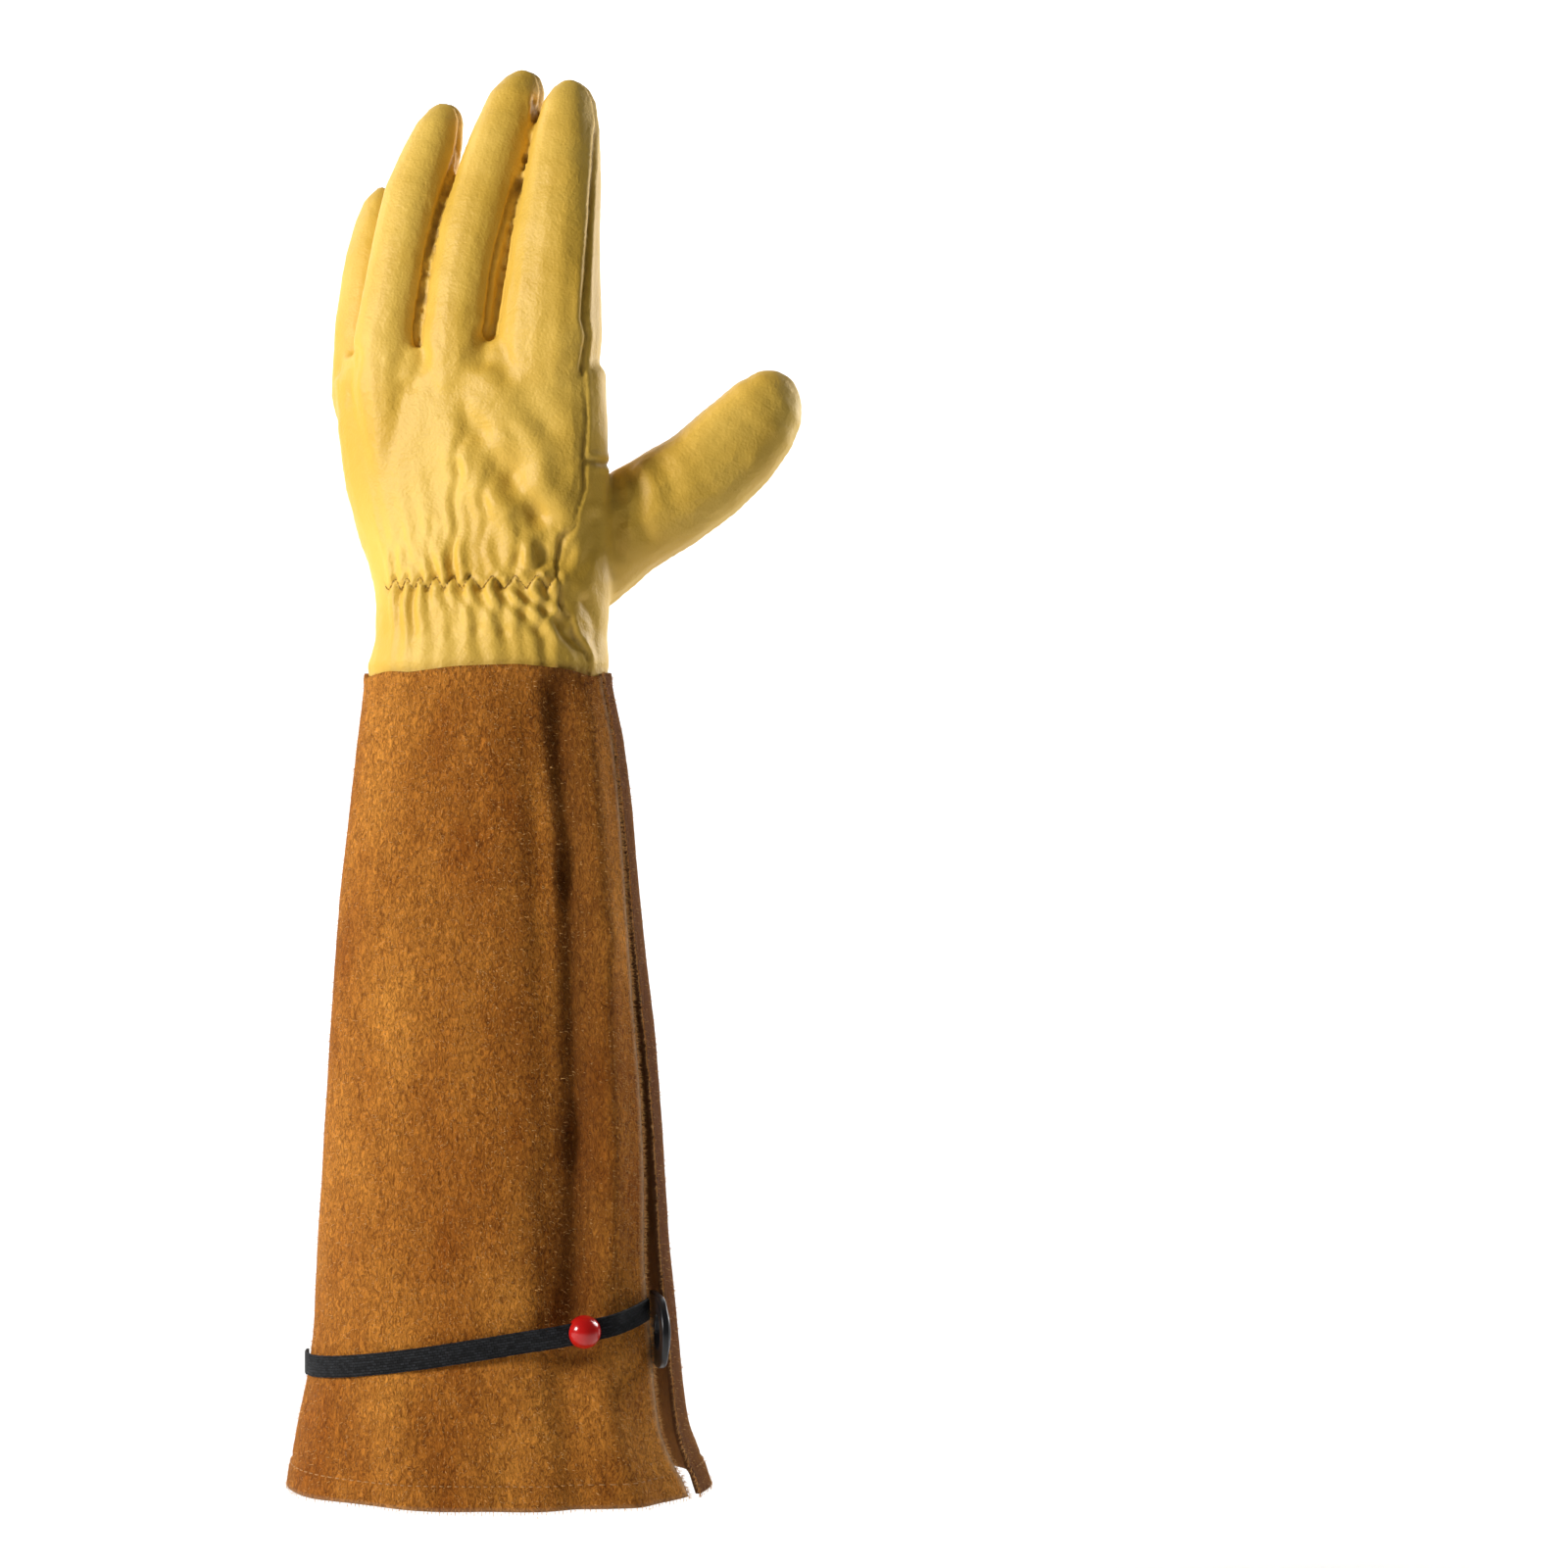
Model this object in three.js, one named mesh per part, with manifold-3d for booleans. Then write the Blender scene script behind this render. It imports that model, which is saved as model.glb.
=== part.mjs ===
// A left-hand rose pruning gauntlet: a yellow grain leather hand sewn from panels, a long suede cuff that is
// slit on the thumb side, and a black strap with a red bead and a tab that closes the slit.
// Millimetres. +Z runs from the cuff's mouth to the fingertips, +X to the thumb and -Y to the back of the hand.
// The origin is the middle of the cuff's mouth, where the arm goes in.
import * as THREE from "three";
import { mergeVertices } from "three/addons/utils/BufferGeometryUtils.js";
import Module from "manifold-3d";

const wasm = await Module();
wasm.setup();

// Walls and the gap left at every sewn seam.
const LEATHER_WALL = 1.3;
const SUEDE_WALL = 1.8;
const SEAM_GAP = 0.3;

// The suede cuff, from the hem up to the seam with the leather hand.
const CUFF_LENGTH = 297;
const CUFF_WIDTH = 156;
const CUFF_DEPTH = 108;
const FOLD_DEPTH = 5;
const SLIT_WIDTH = 13;

// The leather hand above the cuff. The palm ends at the crotches of the fingers.
const PALM_LENGTH = 121;
const PALM_WIDTH = 108;
const PALM_DEPTH = 39;
const GATHER_DEPTH = 1.5;
const GATHER_FOLDS = 9;
const KNUCKLE_TURN = 18;

const THUMB_LENGTH = 104;
const THUMB_WIDTH = 37;
const THUMB_DEPTH = 29;
const THUMB_RISE = 39.5;

// The strap, the bead on it and the tab at the slit.
const STRAP_WIDTH = 8;
const STRAP_THICK = 1.2;
const STRAP_HEIGHT = 62.5;
const BEAD_DIAMETER = 12;
const BEAD_CLEARANCE = 0.4;
const TAB_LENGTH = 33;
const TAB_HEIGHT = 25.5;
const TAB_THICK = 2.6;
const TAB_WINDOW = 12.5;

// Sections of the cuff from the hem up: share of the cuff's length, then the middle's place across and the
// width as shares of the hem's width, the depth as a share of the hem's depth, and the turn in degrees.
const CUFF_SECTIONS = [
  { up: 0, side: 0, wide: 1, deep: 1, turn: 4 },
  { up: 0.018, side: -0.001, wide: 0.99, deep: 0.98, turn: 4 },
  { up: 0.045, side: -0.01, wide: 0.945, deep: 0.945, turn: 4 },
  { up: 0.082, side: -0.014, wide: 0.917, deep: 0.925, turn: 4 },
  { up: 0.16, side: -0.007, wide: 0.87, deep: 0.89, turn: 5 },
  { up: 0.281, side: -0.013, wide: 0.835, deep: 0.85, turn: 5 },
  { up: 0.402, side: -0.012, wide: 0.806, deep: 0.81, turn: 6 },
  { up: 0.56, side: -0.013, wide: 0.76, deep: 0.74, turn: 6 },
  { up: 0.76, side: -0.019, wide: 0.688, deep: 0.65, turn: 7 },
  { up: 0.904, side: -0.02, wide: 0.645, deep: 0.59, turn: 8 },
  { up: 1, side: -0.029, wide: 0.582, deep: 0.54, turn: 8 },
];

// Long soft folds of the cuff: the angle round the section where each starts and ends, its shares of the
// cuff's length, how far it spreads in degrees, and its height as a share of the fold depth.
const CUFF_FOLDS = [
  { angle: -60, endAngle: -66, from: 0.06, to: 0.98, spread: 9, height: -1 },
  { angle: -44, endAngle: -40, from: 0.34, to: 0.94, spread: 9, height: 0.6 },
  { angle: -46, endAngle: -54, from: -0.1, to: 0.3, spread: 8, height: 0.5 },
  { angle: 72, endAngle: 66, from: 0.12, to: 0.9, spread: 11, height: -0.9 },
  { angle: 44, endAngle: 48, from: 0.2, to: 0.86, spread: 9, height: 0.45 },
  { angle: 48, endAngle: 40, from: -0.1, to: 0.22, spread: 9, height: 0.5 },
  { angle: 205, endAngle: 198, from: 0.3, to: 0.9, spread: 16, height: 0.3 },
];

// The slit's middle as an angle round the section, and its width as a share of the slit's width.
const SLIT_PLACES = [
  { up: -0.02, angle: -16, open: 1 },
  { up: 0.1, angle: -20, open: 0.95 },
  { up: 0.3, angle: -20, open: 0.75 },
  { up: 0.6, angle: -17, open: 0.4 },
  { up: 0.85, angle: -15, open: 0.2 },
  { up: 1.02, angle: -14, open: 0.12 },
];

// Sections of the palm from the cuff up: share of the palm's length, then the middle's place across and the
// width as shares of the palm's width, the place and depth as shares of the palm's depth, and the turn as a
// share of the knuckles' turn.
const PALM_SECTIONS = [
  { up: 0, side: -0.042, back: 0.05, wide: 0.838, deep: 1.48, turn: 0.44 },
  { up: 0.074, side: -0.033, back: 0.05, wide: 0.806, deep: 1.42, turn: 0.5 },
  { up: 0.174, side: -0.028, back: 0.05, wide: 0.801, deep: 1.36, turn: 0.56 },
  { up: 0.273, side: -0.024, back: 0.06, wide: 0.836, deep: 1.28, turn: 0.72 },
  { up: 0.355, side: -0.039, back: 0.07, wide: 0.87, deep: 1.22, turn: 0.83 },
  { up: 0.446, side: -0.063, back: 0.08, wide: 0.912, deep: 1.16, turn: 0.94 },
  { up: 0.579, side: -0.085, back: 0.08, wide: 0.954, deep: 1.1, turn: 1 },
  { up: 0.769, side: -0.1, back: 0.09, wide: 0.982, deep: 1.02, turn: 1 },
  { up: 0.893, side: -0.108, back: 0.1, wide: 0.99, deep: 0.95, turn: 1 },
  { up: 0.96, side: -0.11, back: 0.1, wide: 0.95, deep: 0.78, turn: 1 },
  { up: 1, side: -0.11, back: 0.1, wide: 0.84, deep: 0.42, turn: 1 },
];

// The four fingers from the thumb side. Each root is a share of the palm's width, depth and length. A row
// of a finger is a share of its length, its lean sideways and its curl to the palm as shares of its length,
// and its width and depth as shares of its own.
const FINGERS = {
  index: {
    length: 114,
    width: 32,
    depth: 27,
    turn: 15,
    root: { side: 0.167, back: -0.2, up: 0.86 },
    rows: [
      { along: -0.3, lean: -0.05, curl: 0.04, wide: 0.8, deep: 0.7 },
      { along: 0, lean: 0, curl: 0.012, wide: 1.16, deep: 1.12 },
      { along: 0.2, lean: 0.009, curl: 0, wide: 1.2, deep: 1.14 },
      { along: 0.34, lean: 0.017, curl: 0.004, wide: 1.1, deep: 1.06 },
      { along: 0.53, lean: 0.032, curl: 0.02, wide: 0.98, deep: 1 },
      { along: 0.7, lean: 0.048, curl: 0.05, wide: 0.86, deep: 0.95 },
      { along: 0.83, lean: 0.057, curl: 0.085, wide: 0.73, deep: 0.88 },
      { along: 0.92, lean: 0.063, curl: 0.108, wide: 0.61, deep: 0.76 },
      { along: 0.97, lean: 0.067, curl: 0.118, wide: 0.43, deep: 0.55 },
      { along: 1, lean: 0.07, curl: 0.122, wide: 0.14, deep: 0.18 },
    ],
  },
  middle: {
    length: 120,
    width: 28,
    depth: 27,
    turn: 20,
    root: { side: -0.13, back: 0, up: 0.86 },
    rows: [
      { along: -0.3, lean: 0, curl: 0.02, wide: 0.7, deep: 0.8 },
      { along: 0, lean: 0, curl: 0.004, wide: 1, deep: 1.18 },
      { along: 0.16, lean: 0, curl: 0, wide: 0.965, deep: 1.12 },
      { along: 0.27, lean: 0.008, curl: 0.003, wide: 0.94, deep: 1.05 },
      { along: 0.46, lean: 0.039, curl: 0.02, wide: 0.99, deep: 1 },
      { along: 0.63, lean: 0.078, curl: 0.052, wide: 0.96, deep: 0.95 },
      { along: 0.76, lean: 0.116, curl: 0.084, wide: 0.86, deep: 0.88 },
      { along: 0.89, lean: 0.149, curl: 0.118, wide: 0.77, deep: 0.78 },
      { along: 0.965, lean: 0.172, curl: 0.134, wide: 0.56, deep: 0.58 },
      { along: 1, lean: 0.18, curl: 0.14, wide: 0.18, deep: 0.18 },
    ],
  },
  ring: {
    length: 109,
    width: 25.5,
    depth: 25,
    turn: 24,
    root: { side: -0.375, back: 0.15, up: 0.86 },
    rows: [
      { along: -0.3, lean: 0.02, curl: -0.02, wide: 0.7, deep: 0.8 },
      { along: 0, lean: 0, curl: 0, wide: 1.08, deep: 1.12 },
      { along: 0.16, lean: -0.004, curl: 0, wide: 1.03, deep: 1.06 },
      { along: 0.27, lean: 0.011, curl: 0.004, wide: 1.01, deep: 1.02 },
      { along: 0.47, lean: 0.047, curl: 0.026, wide: 1, deep: 1 },
      { along: 0.66, lean: 0.075, curl: 0.064, wide: 0.98, deep: 0.96 },
      { along: 0.83, lean: 0.126, curl: 0.11, wide: 0.86, deep: 0.86 },
      { along: 0.92, lean: 0.149, curl: 0.136, wide: 0.7, deep: 0.72 },
      { along: 0.97, lean: 0.162, curl: 0.15, wide: 0.48, deep: 0.5 },
      { along: 1, lean: 0.169, curl: 0.155, wide: 0.16, deep: 0.16 },
    ],
  },
  little: {
    length: 81,
    width: 22.5,
    depth: 21.5,
    turn: 38,
    root: { side: -0.478, back: 0.69, up: 0.86 },
    rows: [
      { along: -0.7, lean: 0.14, curl: -0.16, wide: 0.7, deep: 0.8 },
      { along: -0.35, lean: 0.04, curl: -0.09, wide: 1.06, deep: 1.12 },
      { along: 0, lean: -0.006, curl: -0.04, wide: 1.08, deep: 1.16 },
      { along: 0.19, lean: -0.012, curl: -0.005, wide: 1.02, deep: 1.06 },
      { along: 0.34, lean: -0.012, curl: 0.01, wide: 1, deep: 1.02 },
      { along: 0.55, lean: 0.012, curl: 0.05, wide: 0.98, deep: 1 },
      { along: 0.75, lean: 0.034, curl: 0.11, wide: 0.9, deep: 0.94 },
      { along: 0.86, lean: 0.045, curl: 0.15, wide: 0.78, deep: 0.82 },
      { along: 0.94, lean: 0.053, curl: 0.176, wide: 0.57, deep: 0.62 },
      { along: 1, lean: 0.057, curl: 0.19, wide: 0.16, deep: 0.18 },
    ],
  },
};

// The thumb along its own straight axis: share of its length, how far its middle lies above the axis as a
// share of its width, its place towards the palm as a share of its depth, and its width and depth.
const THUMB_ROOT = { side: 0.27, back: 0.12, up: 0.32 };
const THUMB_SECTIONS = [
  { along: -0.34, above: 0.2, back: 0.12, wide: 0.8, deep: 0.9 },
  { along: -0.15, above: 0.12, back: 0.12, wide: 1.02, deep: 1.06 },
  { along: 0, above: 0.06, back: 0.09, wide: 1.08, deep: 1.12 },
  { along: 0.17, above: 0.07, back: 0.05, wide: 1.06, deep: 1.1 },
  { along: 0.3, above: 0.02, back: 0, wide: 1.05, deep: 1.08 },
  { along: 0.38, above: -0.02, back: 0, wide: 1.03, deep: 1.05 },
  { along: 0.5, above: -0.07, back: 0, wide: 0.98, deep: 1 },
  { along: 0.61, above: -0.075, back: 0.02, wide: 0.96, deep: 0.96 },
  { along: 0.72, above: -0.045, back: 0.04, wide: 0.93, deep: 0.92 },
  { along: 0.83, above: 0, back: 0.06, wide: 0.85, deep: 0.84 },
  { along: 0.91, above: 0.035, back: 0.08, wide: 0.71, deep: 0.7 },
  { along: 0.96, above: 0.06, back: 0.09, wide: 0.54, deep: 0.54 },
  { along: 0.988, above: 0.078, back: 0.1, wide: 0.3, deep: 0.3 },
  { along: 1, above: 0.085, back: 0.1, wide: 0.12, deep: 0.12 },
];

// Smooth values of a table's columns at any place between its rows.
function track(rows, key) {
  const columns = Object.keys(rows[0]).filter((column) => column !== key);
  const places = rows.map((row) => row[key]);
  const values = rows.flatMap((row) => columns.map((column) => row[column]));
  const curve = new THREE.CubicInterpolant(places, values, columns.length);
  return (place) => {
    const found = curve.evaluate(place);
    return Object.fromEntries(columns.map((column, i) => [column, found[i]]));
  };
}

const radians = THREE.MathUtils.degToRad;

// A bell of height one that is spent at about twice its spread.
function bell(distance, spread) {
  return Math.exp(-((distance / spread) ** 2));
}

// One where a place lies well between two ends, falling smoothly to nothing at them.
function between(place, from, to, ease) {
  const rise = THREE.MathUtils.smoothstep(place, from, from + ease);
  const fall = 1 - THREE.MathUtils.smoothstep(place, to - ease, to);
  return rise * fall;
}

// A point of a rounded section: angle 0 lies across, 90 degrees lies through, and proud moves it outwards.
function sectionPoint(section, angle, proud) {
  const power = 2 / section.square;
  const c = Math.cos(angle);
  const s = Math.sin(angle);
  const u = Math.sign(c) * Math.abs(c) ** power * (section.wide / 2 + proud);
  const v = Math.sign(s) * Math.abs(s) ** power * (section.deep / 2 + proud);
  return section.middle.clone().addScaledVector(section.across, u).addScaledVector(section.through, v);
}

// Equal angles all the way round.
function evenAngles(sides) {
  return Array.from({ length: sides }, (unused, i) => (2 * Math.PI * i) / sides);
}

// A closed solid through rings of points that each run anticlockwise seen from the last ring's end.
function loft(rings) {
  const sides = rings[0].length;
  const points = rings.flat();
  const corners = [];
  for (let level = 0; level < rings.length - 1; level += 1) {
    for (let i = 0; i < sides; i += 1) {
      const low = level * sides + i;
      const lowNext = level * sides + ((i + 1) % sides);
      const [high, highNext] = [low + sides, lowNext + sides];
      // The two halves of a ring are split along opposite diagonals, so that a thin blade may twist.
      if (2 * i < sides) corners.push(low, lowNext, highNext, low, highNext, high);
      else corners.push(low, lowNext, high, lowNext, highNext, high);
    }
  }
  [rings[0], rings.at(-1)].forEach((ring, end) => {
    const hub = points.length;
    const start = end * (rings.length - 1) * sides;
    points.push(ring.reduce((sum, point) => sum.add(point), new THREE.Vector3()).divideScalar(sides));
    for (let i = 0; i < sides; i += 1) {
      const pair = [start + i, start + ((i + 1) % sides)];
      corners.push(...(end ? pair : pair.reverse()), hub);
    }
  });
  return solid(new THREE.BufferGeometry().setFromPoints(points).setIndex(corners));
}

// A closed three.js geometry as a solid that can be joined and cut.
function solid(geometry) {
  const bare = geometry.clone();
  bare.deleteAttribute("normal");
  bare.deleteAttribute("uv");
  const merged = mergeVertices(bare, 1e-4);
  const triVerts = new Uint32Array(merged.index.array);
  const vertProperties = merged.attributes.position.array;
  return new wasm.Manifold(new wasm.Mesh({ numProp: 3, vertProperties, triVerts }));
}

// The cuff's section at a share of its length.
const cuffTrack = track(CUFF_SECTIONS, "up");
function cuffSection(up) {
  const row = cuffTrack(up);
  const turn = radians(row.turn);
  return {
    middle: new THREE.Vector3(row.side * CUFF_WIDTH, 0, up * CUFF_LENGTH),
    across: new THREE.Vector3(Math.cos(turn), -Math.sin(turn), 0),
    through: new THREE.Vector3(Math.sin(turn), Math.cos(turn), 0),
    wide: row.wide * CUFF_WIDTH,
    deep: row.deep * CUFF_DEPTH,
    square: 2.15,
  };
}

// How far the cuff's long folds stand proud at an angle and a share of its length.
function cuffRelief(angle, up) {
  const degrees = THREE.MathUtils.radToDeg(angle);
  return CUFF_FOLDS.reduce((sum, fold) => {
    const share = (up - fold.from) / (fold.to - fold.from);
    const crest = THREE.MathUtils.lerp(fold.angle, fold.endAngle, share);
    const away = THREE.MathUtils.euclideanModulo(degrees - crest + 180, 360) - 180;
    const along = between(up, fold.from, fold.to, 0.12);
    return sum + fold.height * FOLD_DEPTH * bell(away, fold.spread) * along;
  }, 0);
}

const CUFF_LEVELS = [0, 0.03, 0.07, 0.13, 0.2, 0.3, 0.42, 0.56, 0.7, 0.82, 0.92, 1];
const CUFF_HOLLOW_LEVELS = [0, 0.03, 0.07, 0.2, 0.42, 0.7, 0.92, 1];
const CUFF_SIDES = 44;

function cuffRing(up, proud, level) {
  const section = cuffSection(up);
  const ring = evenAngles(CUFF_SIDES).map((angle) => sectionPoint(section, angle, proud + cuffRelief(angle, up)));
  ring.forEach((point) => point.setZ(level));
  return ring;
}

// The slit is cut by a tapering wedge that reaches from inside the cuff to outside it.
function slitCutter() {
  const place = track(SLIT_PLACES, "up");
  const rings = SLIT_PLACES.map(({ up }) => {
    const row = place(up);
    const section = cuffSection(THREE.MathUtils.clamp(up, 0, 1));
    const out = sectionPoint(section, radians(row.angle), 0).sub(section.middle);
    const level = new THREE.Vector3(section.middle.x, section.middle.y, up * CUFF_LENGTH);
    const along = new THREE.Vector3(-out.y, out.x, 0).setLength((row.open * SLIT_WIDTH) / 2);
    const corner = (reach, way) => level.clone().addScaledVector(out, reach).addScaledVector(along, way);
    return [corner(0.5, -1), corner(1.4, -1), corner(1.4, 1), corner(0.5, 1)];
  });
  return loft(rings);
}

function suedeCuff() {
  const outer = loft(CUFF_LEVELS.map((up) => cuffRing(up, 0, up * CUFF_LENGTH)));
  const inner = loft(
    CUFF_HOLLOW_LEVELS.map((up) => {
      const overrun = SUEDE_WALL * (up === 0 ? -1 : up === 1 ? 1 : 0);
      return cuffRing(up, -SUEDE_WALL, up * CUFF_LENGTH + overrun);
    }),
  );
  return outer.subtract(inner).subtract(slitCutter());
}

// The palm's section at a share of its length above the cuff.
const palmTrack = track(PALM_SECTIONS, "up");
const PALM_FOOT = CUFF_LENGTH + SEAM_GAP;
function palmSection(up) {
  const row = palmTrack(up);
  const turn = radians(row.turn * KNUCKLE_TURN);
  return {
    middle: new THREE.Vector3(row.side * PALM_WIDTH, row.back * PALM_DEPTH, PALM_FOOT + up * PALM_LENGTH),
    across: new THREE.Vector3(Math.cos(turn), -Math.sin(turn), 0),
    through: new THREE.Vector3(Math.sin(turn), Math.cos(turn), 0),
    wide: row.wide * PALM_WIDTH,
    deep: row.deep * PALM_DEPTH,
    square: 2.2,
  };
}

// The back of the wrist is shirred on an elastic thread: small upright folds that are deepest at the thread.
const GATHER_HEIGHT = 0.267;
const GATHER_FIRST = -138;
const GATHER_LAST = -46;
function gatherRelief(angle, up) {
  const degrees = THREE.MathUtils.radToDeg(angle) - 360 * (angle > Math.PI);
  const share = (degrees - GATHER_FIRST) / (GATHER_LAST - GATHER_FIRST);
  const across = between(share, -0.06, 1.06, 0.12);
  const spread = up > GATHER_HEIGHT ? 0.2 : 0.24;
  const fold = 0.5 - 0.5 * Math.cos(2 * Math.PI * GATHER_FOLDS * share);
  return GATHER_DEPTH * fold * across * bell(up - GATHER_HEIGHT, spread);
}

const PALM_LEVELS = [0, 0.1, 0.2, 0.267, 0.33, 0.42, 0.56, 0.74, 0.9, 1];
const PALM_HOLLOW_LEVELS = [0, 0.1, 0.2, 0.267, 0.33, 0.42, 0.6, 0.8, 0.93, 1];
const BACK_COLUMNS = 32;
const FRONT_COLUMNS = 24;
const HOLLOW_COLUMNS = 24;

// Close columns on the gathered back of the hand, wide ones on the palm side.
function palmAngles() {
  const first = GATHER_FIRST + 360;
  const last = GATHER_LAST + 360;
  const back = Array.from({ length: BACK_COLUMNS }, (unused, i) => first + ((last - first) * i) / BACK_COLUMNS);
  const span = 360 - (last - first);
  const front = Array.from({ length: FRONT_COLUMNS }, (unused, i) => last - 360 + (span * i) / FRONT_COLUMNS);
  return front.concat(back).map(radians);
}

function palmLoft(inset) {
  const angles = inset ? evenAngles(HOLLOW_COLUMNS) : palmAngles();
  const rings = (inset ? PALM_HOLLOW_LEVELS : PALM_LEVELS).map((up) => {
    const section = palmSection(up);
    const ring = angles.map((angle) => sectionPoint(section, angle, inset ? -inset : gatherRelief(angle, up)));
    const end = (up === 0 ? -inset : 0) + (up === 1 ? -inset : 0);
    ring.forEach((point) => point.setZ(point.z + end));
    return ring;
  });
  return loft(rings);
}

// A finger's section at a share of its length.
function fingerSection(finger, along, length = finger.length) {
  const row = finger.track(along);
  const turn = radians(finger.turn);
  const x = finger.root.side * PALM_WIDTH + row.lean * finger.length;
  const y = finger.root.back * PALM_DEPTH + row.curl * finger.length;
  const z = PALM_FOOT + finger.root.up * PALM_LENGTH + along * length;
  return {
    middle: new THREE.Vector3(x, y, z),
    across: new THREE.Vector3(Math.cos(turn), -Math.sin(turn), 0),
    through: new THREE.Vector3(Math.sin(turn), Math.cos(turn), 0),
    wide: row.wide * finger.width,
    deep: row.deep * finger.depth,
    square: 2.25,
  };
}
Object.values(FINGERS).forEach((finger) => {
  finger.track = track(finger.rows, "along");
});

const FINGER_LEVELS = [-0.3, 0, 0.17, 0.34, 0.52, 0.7, 0.84, 0.93, 0.975, 1];
const FINGER_SIDES = 16;
const FINGER_HOLLOW_LEVELS = [-0.3, 0, 0.25, 0.55, 0.8, 0.94, 1];
const FINGER_HOLLOW_SIDES = 10;

function fingerLoft(finger, inset) {
  const angles = evenAngles(inset ? FINGER_HOLLOW_SIDES : FINGER_SIDES);
  const foot = finger.rows[0].along;
  const levels = (inset ? FINGER_HOLLOW_LEVELS : FINGER_LEVELS).map((along) => (along < 0 ? (along * foot) / FINGER_LEVELS[0] : along));
  const rings = levels.map((along) => {
    const section = fingerSection(finger, along, finger.length - inset);
    const least = 0.4 * inset;
    section.wide = Math.max(section.wide - 2 * inset, least);
    section.deep = Math.max(section.deep - 2 * inset, least);
    return angles.map((angle) => sectionPoint(section, angle, 0));
  });
  return loft(rings);
}

// The thumb's section at a share of its length.
const thumbTrack = track(THUMB_SECTIONS, "along");
const thumbAxis = new THREE.Vector3(Math.cos(radians(THUMB_RISE)), 0, Math.sin(radians(THUMB_RISE)));
const thumbUpper = new THREE.Vector3(-thumbAxis.z, 0, thumbAxis.x);
const thumbFoot = new THREE.Vector3(
  THUMB_ROOT.side * PALM_WIDTH,
  THUMB_ROOT.back * PALM_DEPTH,
  PALM_FOOT + THUMB_ROOT.up * PALM_LENGTH,
);
function thumbSection(along, length = THUMB_LENGTH) {
  const row = thumbTrack(along);
  const middle = thumbFoot.clone().addScaledVector(thumbAxis, along * length);
  middle.addScaledVector(thumbUpper, row.above * THUMB_WIDTH);
  middle.y += row.back * THUMB_DEPTH;
  return {
    middle,
    across: thumbUpper.clone().negate(),
    through: new THREE.Vector3(0, 1, 0),
    wide: row.wide * THUMB_WIDTH,
    deep: row.deep * THUMB_DEPTH,
    square: 2.15,
  };
}

const THUMB_LEVELS = [-0.34, -0.15, 0, 0.2, 0.38, 0.56, 0.72, 0.85, 0.93, 0.975, 1];
const THUMB_SIDES = 18;
const THUMB_HOLLOW_LEVELS = [-0.34, 0, 0.25, 0.55, 0.8, 0.94, 1];
const THUMB_HOLLOW_SIDES = 12;

function thumbLoft(inset) {
  const angles = evenAngles(inset ? THUMB_HOLLOW_SIDES : THUMB_SIDES);
  const rings = (inset ? THUMB_HOLLOW_LEVELS : THUMB_LEVELS).map((along) => {
    const section = thumbSection(along, THUMB_LENGTH - inset);
    const least = 0.4 * inset;
    section.wide = Math.max(section.wide - 2 * inset, least);
    section.deep = Math.max(section.deep - 2 * inset, least);
    return angles.map((angle) => sectionPoint(section, angle, 0));
  });
  return loft(rings);
}

// The whole leather hand as one hollow wall, before it is cut along its seams.
function handShell() {
  const fingers = Object.values(FINGERS);
  const outer = fingers.reduce((sum, finger) => sum.add(fingerLoft(finger, 0)), palmLoft(0).add(thumbLoft(0)));
  const hollows = [palmLoft(LEATHER_WALL), thumbLoft(LEATHER_WALL)];
  fingers.forEach((finger) => hollows.push(fingerLoft(finger, LEATHER_WALL)));
  return hollows.reduce((shell, hollow) => shell.subtract(hollow), outer);
}

// A thin blade that follows pairs of points, one inside the hollow and one outside the wall.
function blade(stations) {
  const rings = stations.map(([inner, outer], i) => {
    const before = stations[Math.max(i - 1, 0)];
    const after = stations[Math.min(i + 1, stations.length - 1)];
    const travel = after[0].clone().add(after[1]).sub(before[0]).sub(before[1]);
    const half = travel.cross(outer.clone().sub(inner)).setLength(SEAM_GAP / 2);
    return [
      inner.clone().sub(half),
      outer.clone().sub(half),
      outer.clone().add(half),
      inner.clone().add(half),
    ];
  });
  return loft(rings);
}

// A point placed by shares of a section's half width and half depth.
function inSection(section, u, v) {
  const point = section.middle.clone().addScaledVector(section.across, (u * section.wide) / 2);
  return point.addScaledVector(section.through, (v * section.deep) / 2);
}

// The share of half depth at which a section's back wall lies, for a share of its half width.
function backWall(section, u) {
  return -((1 - Math.min(u, 1) ** section.square) ** (1 / section.square));
}

// A station that cuts the wall where u says, on the back of the hand.
function backStation(section, u) {
  const v = backWall(section, u);
  return [inSection(section, 0.55 * u, 0.55 * v), inSection(section, 1.4 * u, 1.4 * v)];
}

// The seam between back and palm down the thumb side: along the index finger, then down the palm.
const INDEX_SEAM = [
  { along: 0.9, u: 1 },
  { along: 0.85, u: 1 },
  { along: 0.75, u: 0.96 },
  { along: 0.58, u: 0.93 },
  { along: 0.35, u: 0.88 },
  { along: 0.2, u: 0.83 },
];
const EDGE_SEAM = [
  { up: 0.89, u: 0.9 },
  { up: 0.77, u: 0.915 },
  { up: 0.54, u: 0.9 },
  { up: 0.43, u: 0.825 },
  { up: 0.35, u: 0.7 },
  { up: 0.28, u: 0.65 },
  { up: 0.195, u: 0.69 },
  { up: 0.1, u: 0.81 },
  { up: 0, u: 0.917 },
  { up: -0.03, u: 0.93 },
];
function thumbSideSeam() {
  const finger = INDEX_SEAM.map(({ along, u }) => backStation(fingerSection(FINGERS.index, along), u));
  const palm = EDGE_SEAM.map(({ up, u }) => backStation(palmSection(up), u));
  return blade(finger.concat(palm));
}

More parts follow.
